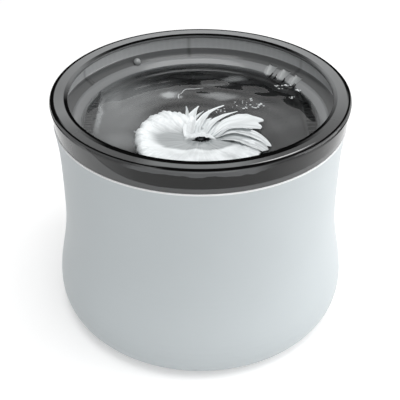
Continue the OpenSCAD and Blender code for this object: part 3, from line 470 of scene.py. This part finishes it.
# The right side of the dish is painted lighter than the left: painted side light.
dish_tone = mix_colour(dish, "MULTIPLY", 1.0, dish_tone, share_over(dish, turn, degrees(SIDE_LIGHT)))
on_ledge = share_over(dish, radius, [(0.0860, 0), (0.0868, 1), (0.0926, 1), (0.0934, 0.4)])
for tick in TICKS:
    beside = share_over(dish, turn, degrees([
        (-180, 1), (tick - 0.9, 1), (tick - 0.3, 0.55), (tick + 0.3, 0.55), (tick + 0.9, 1), (180, 1)]))
    dish_tone = mix_colour(dish, "MULTIPLY", on_ledge, dish_tone, beside)
dress(dish_paint, Base_Color=dish_tone)
paint("drinking_dish", dish_paint)
print("dish tones set")

# %% [markdown]
# ## Water
# Still water is a flat disc with shallow rings that run out from the nozzle, and a lip where it
# climbs the dish. The disc is a circle drawn inwards ring by ring, so that the ripples can be
# raised. Its paint is clear, with pale matt patches that are painted reflections of the room.

# %% Helpers for the pieces made of water
def work_on(name):
    """Names the new primitive and opens it in edit mode."""
    piece = bpy.context.object
    piece.name = name
    piece.data.name = name
    bpy.ops.object.mode_set(mode="EDIT")
    return piece


def choose(piece):
    """Leaves edit mode and makes piece the only selected object."""
    if piece.mode == "EDIT":
        bpy.ops.object.mode_set(mode="OBJECT")
    bpy.ops.object.select_all(action="DESELECT")
    piece.select_set(True)
    bpy.context.view_layer.objects.active = piece


def modify(piece, kind, **values):
    """Adds a modifier, sets it and applies it."""
    choose(piece)
    modifier = piece.modifiers.new(kind.title(), kind)
    for name, value in values.items():
        setattr(modifier, name, value)
    bpy.ops.object.modifier_apply(modifier=modifier.name)


def settle(piece, body, material):
    """Applies the piece's place, smooths and paints it, and lets it ride on its body."""
    choose(piece)
    bpy.ops.object.transform_apply(location=True, rotation=True, scale=True)
    bpy.ops.object.shade_smooth()
    piece.data.materials.clear()
    piece.data.materials.append(material)
    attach(piece, body)
    print(piece.name, len(piece.data.polygons), "faces, rides on", body)
    return piece


def flat_grid(name, across, lengthwise):
    """A flat grid that reaches from -1 to 1 both ways, ready for its points to be placed."""
    bpy.ops.object.select_all(action="DESELECT")
    bpy.ops.mesh.primitive_grid_add(x_subdivisions=across, y_subdivisions=lengthwise, size=2,
                                    location=(0, 0, 0))
    piece = work_on(name)
    bpy.ops.object.mode_set(mode="OBJECT")
    return piece


def place_points(piece, places):
    """Puts the piece's points at places in millimetres, counted from the nozzle's middle on the water."""
    for v, (x, y, height_mm) in zip(piece.data.vertices, places):
        v.co = (x / 1000, y / 1000 + nozzle_y, water_z + height_mm / 1000)


def ringed_disc(name, rings, spokes, open_middle=False):
    """A disc of radius 1 in rings and spokes, drawn inwards from a circle."""
    bpy.ops.object.select_all(action="DESELECT")
    bpy.ops.mesh.primitive_circle_add(vertices=spokes, radius=1, fill_type="NOTHING", location=(0, 0, 0))
    piece = work_on(name)
    for ring in range(rings, 0, -1):
        bpy.ops.mesh.extrude_edges_move()
        if ring > 1:
            bpy.ops.transform.resize(value=((ring - 1) / ring, (ring - 1) / ring, 1))
        elif not open_middle:
            bpy.ops.mesh.merge(type="CENTER")
    if open_middle:
        bpy.ops.mesh.delete(type="VERT")
    bpy.ops.mesh.select_all(action="SELECT")
    bpy.ops.mesh.normals_make_consistent(inside=False)
    bpy.ops.object.mode_set(mode="OBJECT")
    if sum(face.normal.z for face in piece.data.polygons) < 0:
        piece.data.flip_normals()
    return piece


# %% Water paint, with painted reflections
# Pale patches and a thin light arc on the water: painted reflections of the room.
REFLECTION_PATCHES = [  # centre x, y; half width, half depth in metres; strength; turn in degrees
    (-0.0560, 0.0060, 0.0300, 0.0560, 0.17, 0), (-0.0300, 0.0340, 0.0240, 0.0200, 0.08, 20),
    (-0.0225, 0.0300, 0.0080, 0.0062, 0.34, 15), (-0.0135, 0.0285, 0.0022, 0.0030, 0.22, 0),
    (0.0130, 0.0290, 0.0170, 0.0060, 0.20, -6), (0.0250, 0.0555, 0.0110, 0.0050, 0.15, 10),
    (0.0110, 0.0460, 0.0150, 0.0040, 0.07, 0), (0.0560, -0.0060, 0.0260, 0.0300, 0.035, 0),
    (0.0360, 0.0140, 0.0150, 0.0060, 0.05, 15), (-0.0480, -0.0330, 0.0220, 0.0120, 0.10, -20),
    (-0.0686, 0.0010, 0.0030, 0.0290, 0.16, 0), (-0.0600, 0.0200, 0.0060, 0.0160, 0.05, 0)]
REFLECTION_BEND = (0.010, 0.010, 0)   # how far noise pushes the edges of the haze about
ARC = (-0.0020, 0.0270, 0.0135, 0.0150)   # a thin light arc round a dark round: centre, half sizes
ARC_END_X, ARC_END_Y, ARC_STRENGTH = 0.002, 0.0255, 0.45
TICK_STRENGTH, TICK_SHARE = 0.14, 0.6   # the pattern of the drain that shows through the water
water_paint = finish("water_clear", (0.9, 0.92, 0.93), 0.03, grain=90, bump=0.12, tint=0.02,
                     IOR=1.33, Transmission_Weight=1.0, Specular_IOR_Level=0.22)
pool = water_paint.node_tree
where = object_place(pool)
swirl = new_node(pool, "ShaderNodeTexNoise", Vector=where, Scale=70.0, Detail=3.0, Roughness=0.5,
                 Distortion=0.6)
pushed = reckon_places(pool, "SUBTRACT", swirl.outputs["Color"], (0.5, 0.5, 0.5))
bent = reckon_places(pool, "MULTIPLY_ADD", pushed, REFLECTION_BEND, where)


def away_from(tree, place, x, y, half_w, half_d, turned=0.0):
    """Distance from a spot on the water, in half sizes of the spot."""
    spot = new_node(tree, "ShaderNodeMapping", vector_type="TEXTURE", Vector=place, Location=(x, y, water_z),
                    Rotation=(0, 0, math.radians(turned)), Scale=(half_w, half_d, 1))
    return reckon_places(tree, "LENGTH", spot.outputs["Vector"])


painted_light = 0.0
for x, y, half_w, half_d, strength, turned in REFLECTION_PATCHES:
    away = away_from(pool, bent, x, y, half_w, half_d, turned)
    painted_light = reckon(pool, "ADD", painted_light, fading(pool, away, 0.2, 1.15, strength))
split = new_node(pool, "ShaderNodeSeparateXYZ", Vector=where)
off_arc = reckon(pool, "ABSOLUTE", reckon(pool, "SUBTRACT", away_from(pool, bent, *ARC), 1.0))
arc = fading(pool, off_arc, 0.01, 0.05, ARC_STRENGTH)
arc = reckon(pool, "MULTIPLY", arc, reckon(pool, "LESS_THAN", split.outputs["X"], ARC_END_X))
arc = reckon(pool, "MULTIPLY", arc, reckon(pool, "GREATER_THAN", split.outputs["Y"], ARC_END_Y))
painted_light = reckon(pool, "ADD", painted_light, arc)
past_lip = reckon(pool, "LESS_THAN", split.outputs["X"], -DRAIN_LIP_X + 0.0006)
waves = new_node(pool, "ShaderNodeTexWave", bands_direction="Y", Vector=where, Scale=140.0, Distortion=3.0)
ticked = reckon(pool, "ADD", fading(pool, waves.outputs["Fac"], 0.1, 0.5, -TICK_STRENGTH), TICK_STRENGTH)
ticked = reckon(pool, "MULTIPLY", reckon(pool, "MULTIPLY", ticked, past_lip), TICK_SHARE)
painted_light = reckon(pool, "MULTIPLY", painted_light, reckon(pool, "SUBTRACT", 1.0, past_lip))
painted_light = reckon(pool, "ADD", painted_light, ticked)
# The painted reflections and the drain's pattern mix in a pale matt shader.
painted_white = new_node(pool, "ShaderNodeBsdfDiffuse", Color=(0.80, 0.83, 0.84, 1))
clear = pool.nodes["Principled BSDF"].outputs[0]
feed(pool, pool.nodes["Material Output"].inputs["Surface"], mix_shaders(pool, painted_light, clear, painted_white.outputs[0]))
print(len(REFLECTION_PATCHES), "patches of haze")

# %% Water surface
RIPPLE_H, CHOP_H, LIP_CLIMB = 0.00022, 0.00012, 0.0006
water = ringed_disc("water_surface", 60, 160)
for v in water.data.vertices:
    x, y = v.co.x * WATER_R, v.co.y * WATER_R
    inside = WATER_R - math.hypot(x, y)
    run = math.hypot(x, y - nozzle_y)
    ripple = RIPPLE_H * math.sin(run * 520 + 1.3 * math.sin(x * 60)) * math.exp(-run * 14)
    chop = CHOP_H * (math.sin(x * 210 + y * 90) + math.sin(y * 260 - x * 130 + 1.0))
    climb = LIP_CLIMB * math.exp(-inside / 0.0012)
    v.co = (x, y, water_z + ripple + chop * (1 - math.exp(-inside / 0.004)) + climb)
settle(water, "tray", water_paint)

# %% [markdown]
# ## The water that wells up
# The nozzle throws the water up and outwards like an open flower. On its left and front it piles
# up as a rounded mound with a scalloped edge, round a smooth grey hollow. On its right and back
# it tears into petals that sweep round with the swirl. The mound is a ringed disc with a hole
# for the nozzle, and its edge, crest and hollow are read off short outlines round the nozzle.

# %% Reading an outline
def ease(share):
    """Runs from 0 to 1 with a slow start and a slow end."""
    share = min(1.0, max(0.0, share))
    return share * share * (3 - 2 * share)


def around(outline, azimuth):
    """The value at an azimuth, eased between the points of a closed outline."""
    azimuth %= 360
    closed = outline + [(outline[0][0] + 360, outline[0][1])]
    if azimuth < closed[0][0]:
        azimuth += 360
    for (before, low), (after, high) in zip(closed, closed[1:]):
        if before <= azimuth <= after:
            return low + (high - low) * ease((azimuth - before) / (after - before))
    return closed[0][1]


def lumps(x, y, scale, seed=0.0):
    """Soft noise between -1 and 1 over a flat place."""
    return noise.noise(Vector((x * scale, y * scale, seed)))


# %% [markdown]
# White water is a froth of fine bubbles that throws all light back. It could be a cloud of
# bubbles inside clear water, but that renders slowly and can't be exported. It could be a cloud
# of bubbles inside clear water, but that renders slowly, so it is a matt white that turns grey
# where the froth is thin, and grey as painted shade in the hollow, near the nozzle and at the
# roots of the petals. How grey it is, is kept in each mesh as a tone.

# %% White water paint
STREAKS = (9.0, 60.0, 1.0)   # streaks per radian round the nozzle, and per metre away from it
FOAM_WHITE, FOAM_GREY = (0.75, 0.78, 0.79), (0.16, 0.175, 0.18)


def foam_finish(name, white, grey):
    """White water: its tone is kept in the mesh, with fine streaks that run out from the nozzle."""
    material = finish(name, white, 0.32, grain=900, bump=0.10)
    tree = material.node_tree
    kept = new_node(tree, "ShaderNodeAttribute", attribute_name="tone").outputs["Fac"]
    centred = new_node(tree, "ShaderNodeMapping", vector_type="TEXTURE", Vector=object_place(tree),
                       Location=(0, nozzle_y, 0)).outputs["Vector"]
    split = new_node(tree, "ShaderNodeSeparateXYZ", Vector=centred)
    polar = new_node(tree, "ShaderNodeCombineXYZ", Y=reckon_places(tree, "LENGTH", centred),
                     X=reckon(tree, "ARCTAN2", split.outputs["Y"], split.outputs["X"])).outputs[0]
    streaks = new_node(tree, "ShaderNodeTexNoise", Vector=reckon_places(tree, "MULTIPLY", polar, STREAKS),
                       Scale=1.0, Detail=5.0, Roughness=0.65)
    spare = new_node(tree, "ShaderNodeMapRange", Value=streaks.outputs["Fac"],
                     From_Min=0.35, From_Max=0.70, To_Min=-0.11, To_Max=0.11)
    tone = reckon(tree, "ADD", kept, spare.outputs["Result"])
    tone.node.use_clamp = True
    dress(material, Base_Color=mix_colour(tree, "MIX", tone, (*grey, 1), (*white, 1)))
    return material


foam_paint = foam_finish("water_foam", FOAM_WHITE, FOAM_GREY)
print("foam paint:", foam_paint.name)

# %% [markdown]
# The mound is lowest in front, highest at the back left, and hollow round the nozzle. Its
# outlines are short lists of azimuth and size, so that each side can be changed on its own, and
# a disc of rings and spokes is then lifted to the height that they give.

# %% Outlines of the mound, as azimuths in degrees and sizes in millimetres
EDGE_AT = [(0, 33), (13, 29), (25, 22), (36, 14), (50, 11), (64, 10.5), (80, 12), (92, 16), (101, 23),
           (110, 27), (119, 30), (129, 36), (140, 39.5), (150, 41.5), (163, 42), (176, 43), (194, 42.5),
           (215, 43), (240, 44), (300, 44), (330, 43), (350, 38)]
CREST_AT = [(0, 2.0), (36, 2.4), (64, 2.6), (92, 4.0), (110, 6.8), (131, 8.0), (150, 6.4), (163, 5.2),
            (185, 4.2), (215, 3.2), (270, 2.2), (330, 1.8)]
HOLLOW_AT = [(8, 17.0), (31, 13.0), (64, 7.4), (100, 7.0), (130, 8.5), (150, 13), (160, 22), (171, 27),
             (186, 26), (202, 23), (219, 17.5), (256, 10.5), (302, 13.5), (325, 16.8), (346, 20)]
FADE_AT = [(0, 8), (60, 4), (120, 14), (150, 19), (172, 9), (188, 7.5), (204, 5), (240, 2.6),
           (320, 3.0), (345, 6)]
THROAT_R = 6.3
POOL_H = 1.0
MOUND_RINGS, MOUND_SPOKES = 52, 360


def crest_place(azimuth):
    """Share of the slope at which the crest stands: close to the edge on the left."""
    return around([(0, 0.6), (110, 0.74), (150, 0.84), (190, 0.74), (240, 0.45), (320, 0.45)], azimuth)


def mound_height(reach, azimuth):
    """Height in millimetres of the mound above the still water."""
    edge, hollow = around(EDGE_AT, azimuth), around(HOLLOW_AT, azimuth)
    crest, place = around(CREST_AT, azimuth), crest_place(azimuth)
    share = (reach - hollow) / (edge - hollow)
    if share <= 0:
        return POOL_H - 0.35 * ease(-share)
    if share < place:
        return POOL_H + (crest - POOL_H) * ease(share / place)
    fall = min(1.0, (share - place) / (1 - place))
    return crest * math.sqrt(max(0.0, 1 - fall ** 2.4)) - 0.5 * fall


def keep_tone(piece, tones):
    """Stores a tone for each point of the piece, for the paint to read."""
    layer = piece.data.attributes.new("tone", "FLOAT", "POINT")
    layer.data.foreach_set("value", tones)


def mound_tone(reach, azimuth, x, y):
    """White on the crest and outside it; grey as painted shade in the hollow and on the slope above it, and
    darkest near the nozzle, as painted shadow under the petals.
    """
    past = (reach - around(HOLLOW_AT, azimuth)) / around(FADE_AT, azimuth)
    lines = lumps(azimuth * 0.55, reach * 0.03, 1.0)
    if past < 0:
        return 0.30 + 0.06 * lumps(x, y, 0.12) + 0.05 * lines - 0.16 * ease((10.5 - reach) / 4)
    front = around([(0, 1), (60, 0), (200, 0), (240, 1), (359, 1)], azimuth)
    clouds = front * (0.34 * lumps(x, y, 0.12, 5.0) - 0.10)
    return 0.32 + 0.68 * ease(past) + 0.16 * lines * (1 - ease(past - 0.4)) + clouds


# %% Mound
mound = ringed_disc("bloom_mound", MOUND_RINGS, MOUND_SPOKES, open_middle=True)
mound_tones, mound_places = [], []
for v in mound.data.vertices:
    share = (math.hypot(v.co.x, v.co.y) - 1 / MOUND_RINGS) / (1 - 1 / MOUND_RINGS)
    azimuth = math.degrees(math.atan2(v.co.y, v.co.x))
    edge = around(EDGE_AT, azimuth)
    lobes = abs(math.sin(math.radians(azimuth * 13 + 40 * math.sin(math.radians(azimuth * 2.0))))) ** 0.6
    nicks = abs(math.sin(math.radians(azimuth * 37 + 50 * math.sin(math.radians(azimuth * 5.0)))))
    reach = THROAT_R + (edge - THROAT_R) * share
    height_mm = mound_height(reach, azimuth)
    reach *= 1 + ease(share * 3 - 2) * (0.040 * lobes + 0.026 * nicks - 0.05)
    turned = math.radians(azimuth)
    x, y = reach * math.cos(turned), reach * math.sin(turned)
    swell = ease((reach - around(HOLLOW_AT, azimuth)) / 10)
    rough = swell * ease((1 - share) * 14 + 0.1)
    height_mm += rough * 1.5 * (lobes - 0.65) * ease(share * 2.4 - 1.2)
    height_mm += rough * 1.7 * (nicks - 0.6) * ease(share * 3 - 1.8)
    height_mm += rough * (0.5 * lumps(x, y, 0.25) + 0.25 * lumps(x, y, 0.8, 3.0))
    height_mm += 0.14 * lumps(azimuth * 0.5, reach * 0.02, 7.0) * ease(share * 4)
    mound_tones.append(mound_tone(reach, azimuth, x, y))
    mound_places.append((x, y, height_mm))
place_points(mound, mound_places)
keep_tone(mound, mound_tones)
modify(mound, "SOLIDIFY", thickness=0.0009, offset=-1)
settle(mound, "tray", foam_paint)

# %% [markdown]
# A petal is a grid that is bent in code. Its middle runs through a few points round the nozzle,
# each with a reach, a height and a half width, so it can sweep round while it runs out and end
# in a point or in a torn fan. It is given a thin wall, rounded by subdivision.

# %% Petals
PETAL_ACROSS, PETAL_LENGTHWISE, PETAL_WALL = 14, 36, 0.0004


def along(values, share):
    """The value at a share of a list, on a smooth curve through all of its entries."""
    place = share * (len(values) - 1)
    i = min(int(place), len(values) - 2)
    s = place - i
    before, low, high, after = (values[max(0, i - 1)], values[i], values[i + 1],
                                values[min(i + 2, len(values) - 1)])
    return 0.5 * (2 * low + (high - before) * s + (2 * before - 5 * low + 4 * high - after) * s * s
                  + (3 * low - before - 3 * high + after) * s ** 3)


def middle_of(points, share):
    """Place in millimetres on a petal's middle line."""
    azimuth = math.radians(along([p[0] for p in points], share))
    reach = along([p[1] for p in points], share)
    height_mm = along([p[2] for p in points], share)
    return Vector((reach * math.cos(azimuth), reach * math.sin(azimuth), height_mm))


def petal(name, points, tilt=0.0, cup=0.5, tears=0.0, tone=0.95, streak=0.12, seed=0.0):
    """A sheet of water through points of (azimuth, reach, height, half width)."""
    piece = flat_grid(name, PETAL_ACROSS, PETAL_LENGTHWISE)
    tones, places = [], []
    for v in piece.data.vertices:
        u, t = v.co.x, (v.co.y + 1) / 2
        torn = tears * (abs(math.sin(3.6 * u + seed)) ** 0.6 - 0.55 + 0.4 * math.sin(11 * u + 2 * seed))
        t_here = min(1.0, max(0.0, t * (1 + torn * ease(t * 1.6 - 0.6) - tears * u * u * t)))
        centre = middle_of(points, t_here)
        ahead = middle_of(points, min(1, t_here + 0.02)) - middle_of(points, max(0, t_here - 0.02))
        ahead.normalize()
        half_w = max(0.03, along([p[3] for p in points], t_here))
        ragged = 1 + 0.10 * lumps(t * 9, 1.0 if u > 0 else -1.0, 1.0, seed) * ease(t * 3)
        side = Vector((ahead.y, -ahead.x, 0)) * (u * half_w * ragged)
        height_mm = centre.z + tilt * u * half_w + cup * (abs(u) ** 1.6) * half_w * 0.5
        height_mm += 0.16 * math.sin(8 * u + 2.5 * t + seed) * ease(t * 3)
        height_mm += 0.12 * lumps(u * 2.5, t * 5, 1.0, seed)
        streaks = lumps(u * 4.2 + 0.8 * t, t * 1.3, 1.0, seed + 20)
        # Darker at the root, near the nozzle: painted shade under the petals.
        tones.append(tone + streak * 2.2 * streaks - 0.10 * (1 - ease(t * 4)))
        places.append((centre.x + side.x, centre.y + side.y, max(0.05, height_mm)))
    place_points(piece, places)
    keep_tone(piece, tones)
    modify(piece, "SOLIDIFY", thickness=PETAL_WALL, offset=-1)
    modify(piece, "SUBSURF", levels=1, render_levels=1)
    return settle(piece, "nozzle", foam_paint)


petal("bloom_petal_1", [(152, 8.5, 1.2, 3.6), (122, 13.5, 3.8, 4.4), (104, 24, 5.2, 3.0), (92, 34, 6.8, 0.1)],
      tilt=0.25, seed=1)
petal("bloom_petal_2", [(122, 4.6, 1.6, 3.0), (93, 15, 4.2, 3.0), (79, 28, 5.3, 2.0), (66, 39.5, 6.2, 0.1)],
      tilt=0.3, seed=2)
petal("bloom_petal_3", [(72, 4.6, 1.6, 3.0), (66, 16, 3.9, 3.0), (58, 28, 4.6, 2.4), (50, 39, 5.0, 0.1)],
      tilt=0.3, seed=3)
petal("bloom_petal_4", [(96, 4.4, 1.5, 2.8), (84, 14.5, 3.2, 3.4), (73, 24.5, 3.6, 0.1)], tone=0.90, seed=4)
petal("bloom_petal_5", [(52, 5.4, 1.5, 3.0), (58, 15.5, 3.0, 3.4), (50, 25, 3.2, 0.1)], tone=0.90, seed=5)
petal("bloom_petal_6", [(130, 6.4, 1.4, 1.2), (100, 21, 4.4, 1.1), (86, 30, 5.2, 0.1)], tone=0.8, seed=6)
petal("bloom_petal_7", [(34, 7.0, 1.1, 2.8), (42, 17, 3.0, 3.6), (38, 28, 3.4, 1.6)], tone=0.88, seed=13)
petal("bloom_fan_1", [(24, 9.0, 0.8, 3.4), (35, 18, 3.4, 5.0), (31, 30, 3.6, 8.6), (20, 43.5, 2.2, 11.0)],
      tears=0.20, tone=0.80, streak=0.20, seed=7)
petal("bloom_fan_2", [(20, 10.5, 0.7, 2.6), (17, 21, 3.1, 4.0), (5, 33, 2.8, 4.8), (-11, 46, 1.0, 0.9)],
      tilt=0.15, tears=0.10, tone=0.86, streak=0.26, seed=8)
petal("bloom_fan_3", [(8, 13, 0.6, 3.0), (0, 24, 2.2, 6.0), (-9, 34, 1.6, 7.0), (-18, 44, 0.9, 4.0)],
      tears=0.13, tone=0.62, streak=0.26, seed=9)
petal("bloom_spray_1", [(113, 22, 5.5, 1.2), (109, 28, 7.0, 0.8), (107, 33, 8.0, 0.1)], tone=0.7, seed=11)
petal("bloom_spray_2", [(177, 38, 2.6, 1.2), (171, 44, 3.2, 0.1)], tone=0.7, seed=12)

# %% [markdown]
# The nozzle itself hardly shows: the water boils out of its crown and runs over its sides as a
# thin grey film, with one dark opening left in the middle. The film lifts off with the nozzle.

# %% Film over the nozzle
FILM_RINGS, FILM_R, FILM_H = 14, 11.0, 2.05
HOLE_W, HOLE_D, HOLE_X, HOLE_Y = 5.8, 2.7, 1.0, -2.3   # half sizes and middle of the dark opening
film = ringed_disc("nozzle_film", FILM_RINGS, 96, open_middle=True)
film_tones, film_places = [], []
for v in film.data.vertices:
    share = (math.hypot(v.co.x, v.co.y) - 1 / FILM_RINGS) / (1 - 1 / FILM_RINGS)
    azimuth = math.atan2(v.co.y, v.co.x)
    hole = 1 / math.hypot(math.cos(azimuth) / HOLE_W, math.sin(azimuth) / HOLE_D)
    hole *= 1 + 0.5 * lumps(3.2 * math.cos(azimuth), 3.2 * math.sin(azimuth), 1.0, 4.0)
    x = (1 - share) * (HOLE_X + hole * math.cos(azimuth)) + share * FILM_R * math.cos(azimuth)
    y = (1 - share) * (HOLE_Y + hole * math.sin(azimuth)) + share * FILM_R * math.sin(azimuth)
    reach, behind = math.hypot(x, y), ease((y + 1.2) / 1.6)
    height_mm = FILM_H + 0.3 * lumps(x, y, 0.6, 9.0) * (1 - ease(share * 1.5))
    height_mm -= 1.35 * ease((reach - 6.4) / 4.4)
    height_mm += 0.75 * behind * (1 - ease((reach - 5.5) / 4.5))
    # Darkest round the opening and grey in front: painted shade under the petals; white behind, where the
    # petals' roots lie.
    film_tones.append(0.02 + 0.28 * ease(share * 1.1) + 0.25 * lumps(x, y, 0.8, 2.0) * (1 - ease(share * 1.2))
                      + 0.75 * behind * (1 - ease((reach - 8.0) / 3.0)))
    film_places.append((x, y, height_mm))
place_points(film, film_places)
keep_tone(film, film_tones)
modify(film, "SOLIDIFY", thickness=0.0002, offset=-1)
settle(film, "nozzle", foam_paint)

# %% [markdown]
# Round the bloom the water spits: small drops fly off the petals and lie on the water beyond
# them. A drop is a ball of few faces, drawn out towards where it flies, and all drops of one
# shower are joined into one piece.

# %% Drops
def shower(name, clusters, body, material, seed):
    """Drops scattered round points; a cluster is (x, y, height, spread, size, count) in mm."""
    picks = random.Random(seed)
    drops = []
    for x, y, height_mm, spread, size, count in clusters:
        for _ in range(count):
            place = (x + picks.gauss(0, spread), y + picks.gauss(0, spread * 0.6),
                     height_mm * picks.uniform(0.4, 1))
            radius = 0.001 * size * picks.uniform(0.45, 1)
            bpy.ops.object.select_all(action="DESELECT")
            bpy.ops.mesh.primitive_ico_sphere_add(subdivisions=2, radius=radius)
            drop = bpy.context.object
            turned, long = picks.uniform(-0.9, 0.5), picks.uniform(1.1, 2.2)
            for v in drop.data.vertices:
                tail = 1 + 0.5 * max(0, v.co.x) / (0.001 * size)
                cx, cy, cz = v.co.x * long, v.co.y / tail, v.co.z * 0.7 / tail
                v.co = (cx * math.cos(turned) - cy * math.sin(turned) + place[0] / 1000,
                        cx * math.sin(turned) + cy * math.cos(turned) + place[1] / 1000,
                        cz + water_z + place[2] / 1000)
            drops.append(drop)
    for drop in drops:
        drop.select_set(True)
    bpy.context.view_layer.objects.active = drops[0]
    bpy.ops.object.join()
    piece = bpy.context.object
    piece.name = piece.data.name = name
    return settle(piece, body, material)


drop_paint = finish("water_drops", (0.86, 0.89, 0.90), 0.15, grain=2500, bump=0.05, IOR=1.33,
                    Transmission_Weight=0.25)
shower("bloom_drops", [
    (33.0, 11.0, 1.0, 2.6, 0.55, 9), (40.0, 14.0, 1.5, 1.8, 0.6, 6), (26.0, 16.5, 2.0, 3.0, 0.4, 7),
    (36.8, 19.6, 2.5, 1.6, 0.4, 5), (14.0, 2.0, 3.5, 2.4, 0.45, 7), (7.0, 2.5, 4.5, 1.6, 0.45, 5),
    (20.0, -3.0, 3.0, 1.8, 0.4, 5)], "tray", drop_paint, 5)

# %% [markdown]
# The three scoops in the shoulder let water run back into the basin. Each carries a thin film,
# and where a film meets the still water it leaves a short wake with white crumbs on it. The
# wakes are painted near black, as painted shade and dark reflection on the ripples.

# %% Trickles under the scoops
WAKE_FROM_R, WAKE_ACROSS, WAKE_LENGTHWISE = 82.0, 8, 20


def wake(name, azimuth, long, wide, seed):
    """A short glassy ridge on the water that starts under a scoop."""
    piece = flat_grid(name, WAKE_ACROSS, WAKE_LENGTHWISE)
    turned = math.radians(azimuth)
    for v in piece.data.vertices:
        u, t = v.co.x, (v.co.y + 1) / 2
        half_w = wide * (0.15 + math.sin(math.pi * min(1, 0.12 + 0.88 * t)) ** 0.8)
        reach = WAKE_FROM_R - long * t
        side = u * half_w + 0.5 * math.sin(5 * t + seed)
        height_mm = 0.25 + 0.65 * (1 - u * u) * (1 - 0.5 * t) + 1.2 * (1 - ease(t * 4)) - 0.3 * abs(u)
        v.co = ((reach * math.cos(turned) - side * math.sin(turned)) / 1000,
                (reach * math.sin(turned) + side * math.cos(turned)) / 1000, water_z + height_mm / 1000)
    modify(piece, "SOLIDIFY", thickness=0.0003, offset=-1)
    modify(piece, "SUBSURF", levels=1, render_levels=1)
    return settle(piece, "tray", wake_shade_paint)


# Near black: painted shade and dark reflection.
wake_shade_paint = finish("wake_painted_dark", (0.006, 0.0065, 0.007), 0.06, grain=500, bump=0.05, Specular_IOR_Level=0.3)
for i, (azimuth, long, wide) in enumerate([(49.0, 8.0, 0.8), (46.2, 5.5, 0.6), (40.6, 8.0, 0.9),
                                           (32.6, 8.5, 1.1), (34.0, 5.0, 0.6)]):
    wake(f"scoop_wake_{i + 1}", azimuth, long, wide, i)
shower("scoop_crumbs", [
    (55.3, 43.7, 0.5, 1.0, 0.5, 5), (61.1, 44.3, 0.6, 1.3, 0.75, 8), (68.9, 36.4, 0.6, 1.2, 0.7, 8),
    (65.5, 27.2, 0.4, 1.4, 0.55, 6), (57.0, 40.5, 0.4, 1.2, 0.4, 4)], "tray", drop_paint, 11)

# %% [markdown]
# ## Cloth, foam, wire and sheet steel
# Four pieces inside are not moulded. The filter's cloth is a felt of short fibres, the sponge is
# an open foam, the coil is wound from lacquered wire, and the stator is a stack of thin sheets.
# Each has a pattern of its own at its real size, and a relief that follows the pattern.

# %% Patterns of the inner pieces
def patterned(name, dark, light, roughness, kind, scale, relief, stretch=(1, 1, 1), **sockets):
    """A Principled material whose colour and relief follow one texture."""
    material = bpy.data.materials.new(name)
    material.use_nodes = True
    tree = material.node_tree
    placed = new_node(tree, "ShaderNodeMapping", Vector=object_place(tree), Scale=stretch)
    pattern = new_node(tree, kind, Vector=placed.outputs["Vector"], Scale=float(scale)).outputs[0]
    raised = new_node(tree, "ShaderNodeBump", Strength=relief, Distance=0.0004, Height=pattern)
    dress(material, Base_Color=mix_colour(tree, "MIX", pattern, (*dark, 1), (*light, 1)),
          Normal=raised.outputs["Normal"], Roughness=roughness, **sockets)
    return material


paint("filter_media", patterned("filter_felt", (0.50, 0.53, 0.52), (0.80, 0.82, 0.80), 0.9,
                                "ShaderNodeTexNoise", 1400, 0.6, (1, 1, 0.35), Sheen_Weight=0.3))
paint("intake_sponge", patterned("sponge_foam", (0.02, 0.022, 0.024), (0.12, 0.125, 0.13), 0.95,
                                 "ShaderNodeTexVoronoi", 900, 0.9))
paint("stator_coil", patterned("coil_wire", (0.28, 0.10, 0.035), (0.62, 0.27, 0.10), 0.35,
                               "ShaderNodeTexWave", 420, 0.7, (0, 0, 1), Metallic=0.8))
paint("stator_core", patterned("core_sheets", (0.16, 0.16, 0.17), (0.38, 0.38, 0.39), 0.45,
                               "ShaderNodeTexWave", 320, 0.5, (0, 1, 0), Metallic=0.9))
unpainted = [name for name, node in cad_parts.items() if not node.data.materials]
print("nodes still bare:", unpainted)
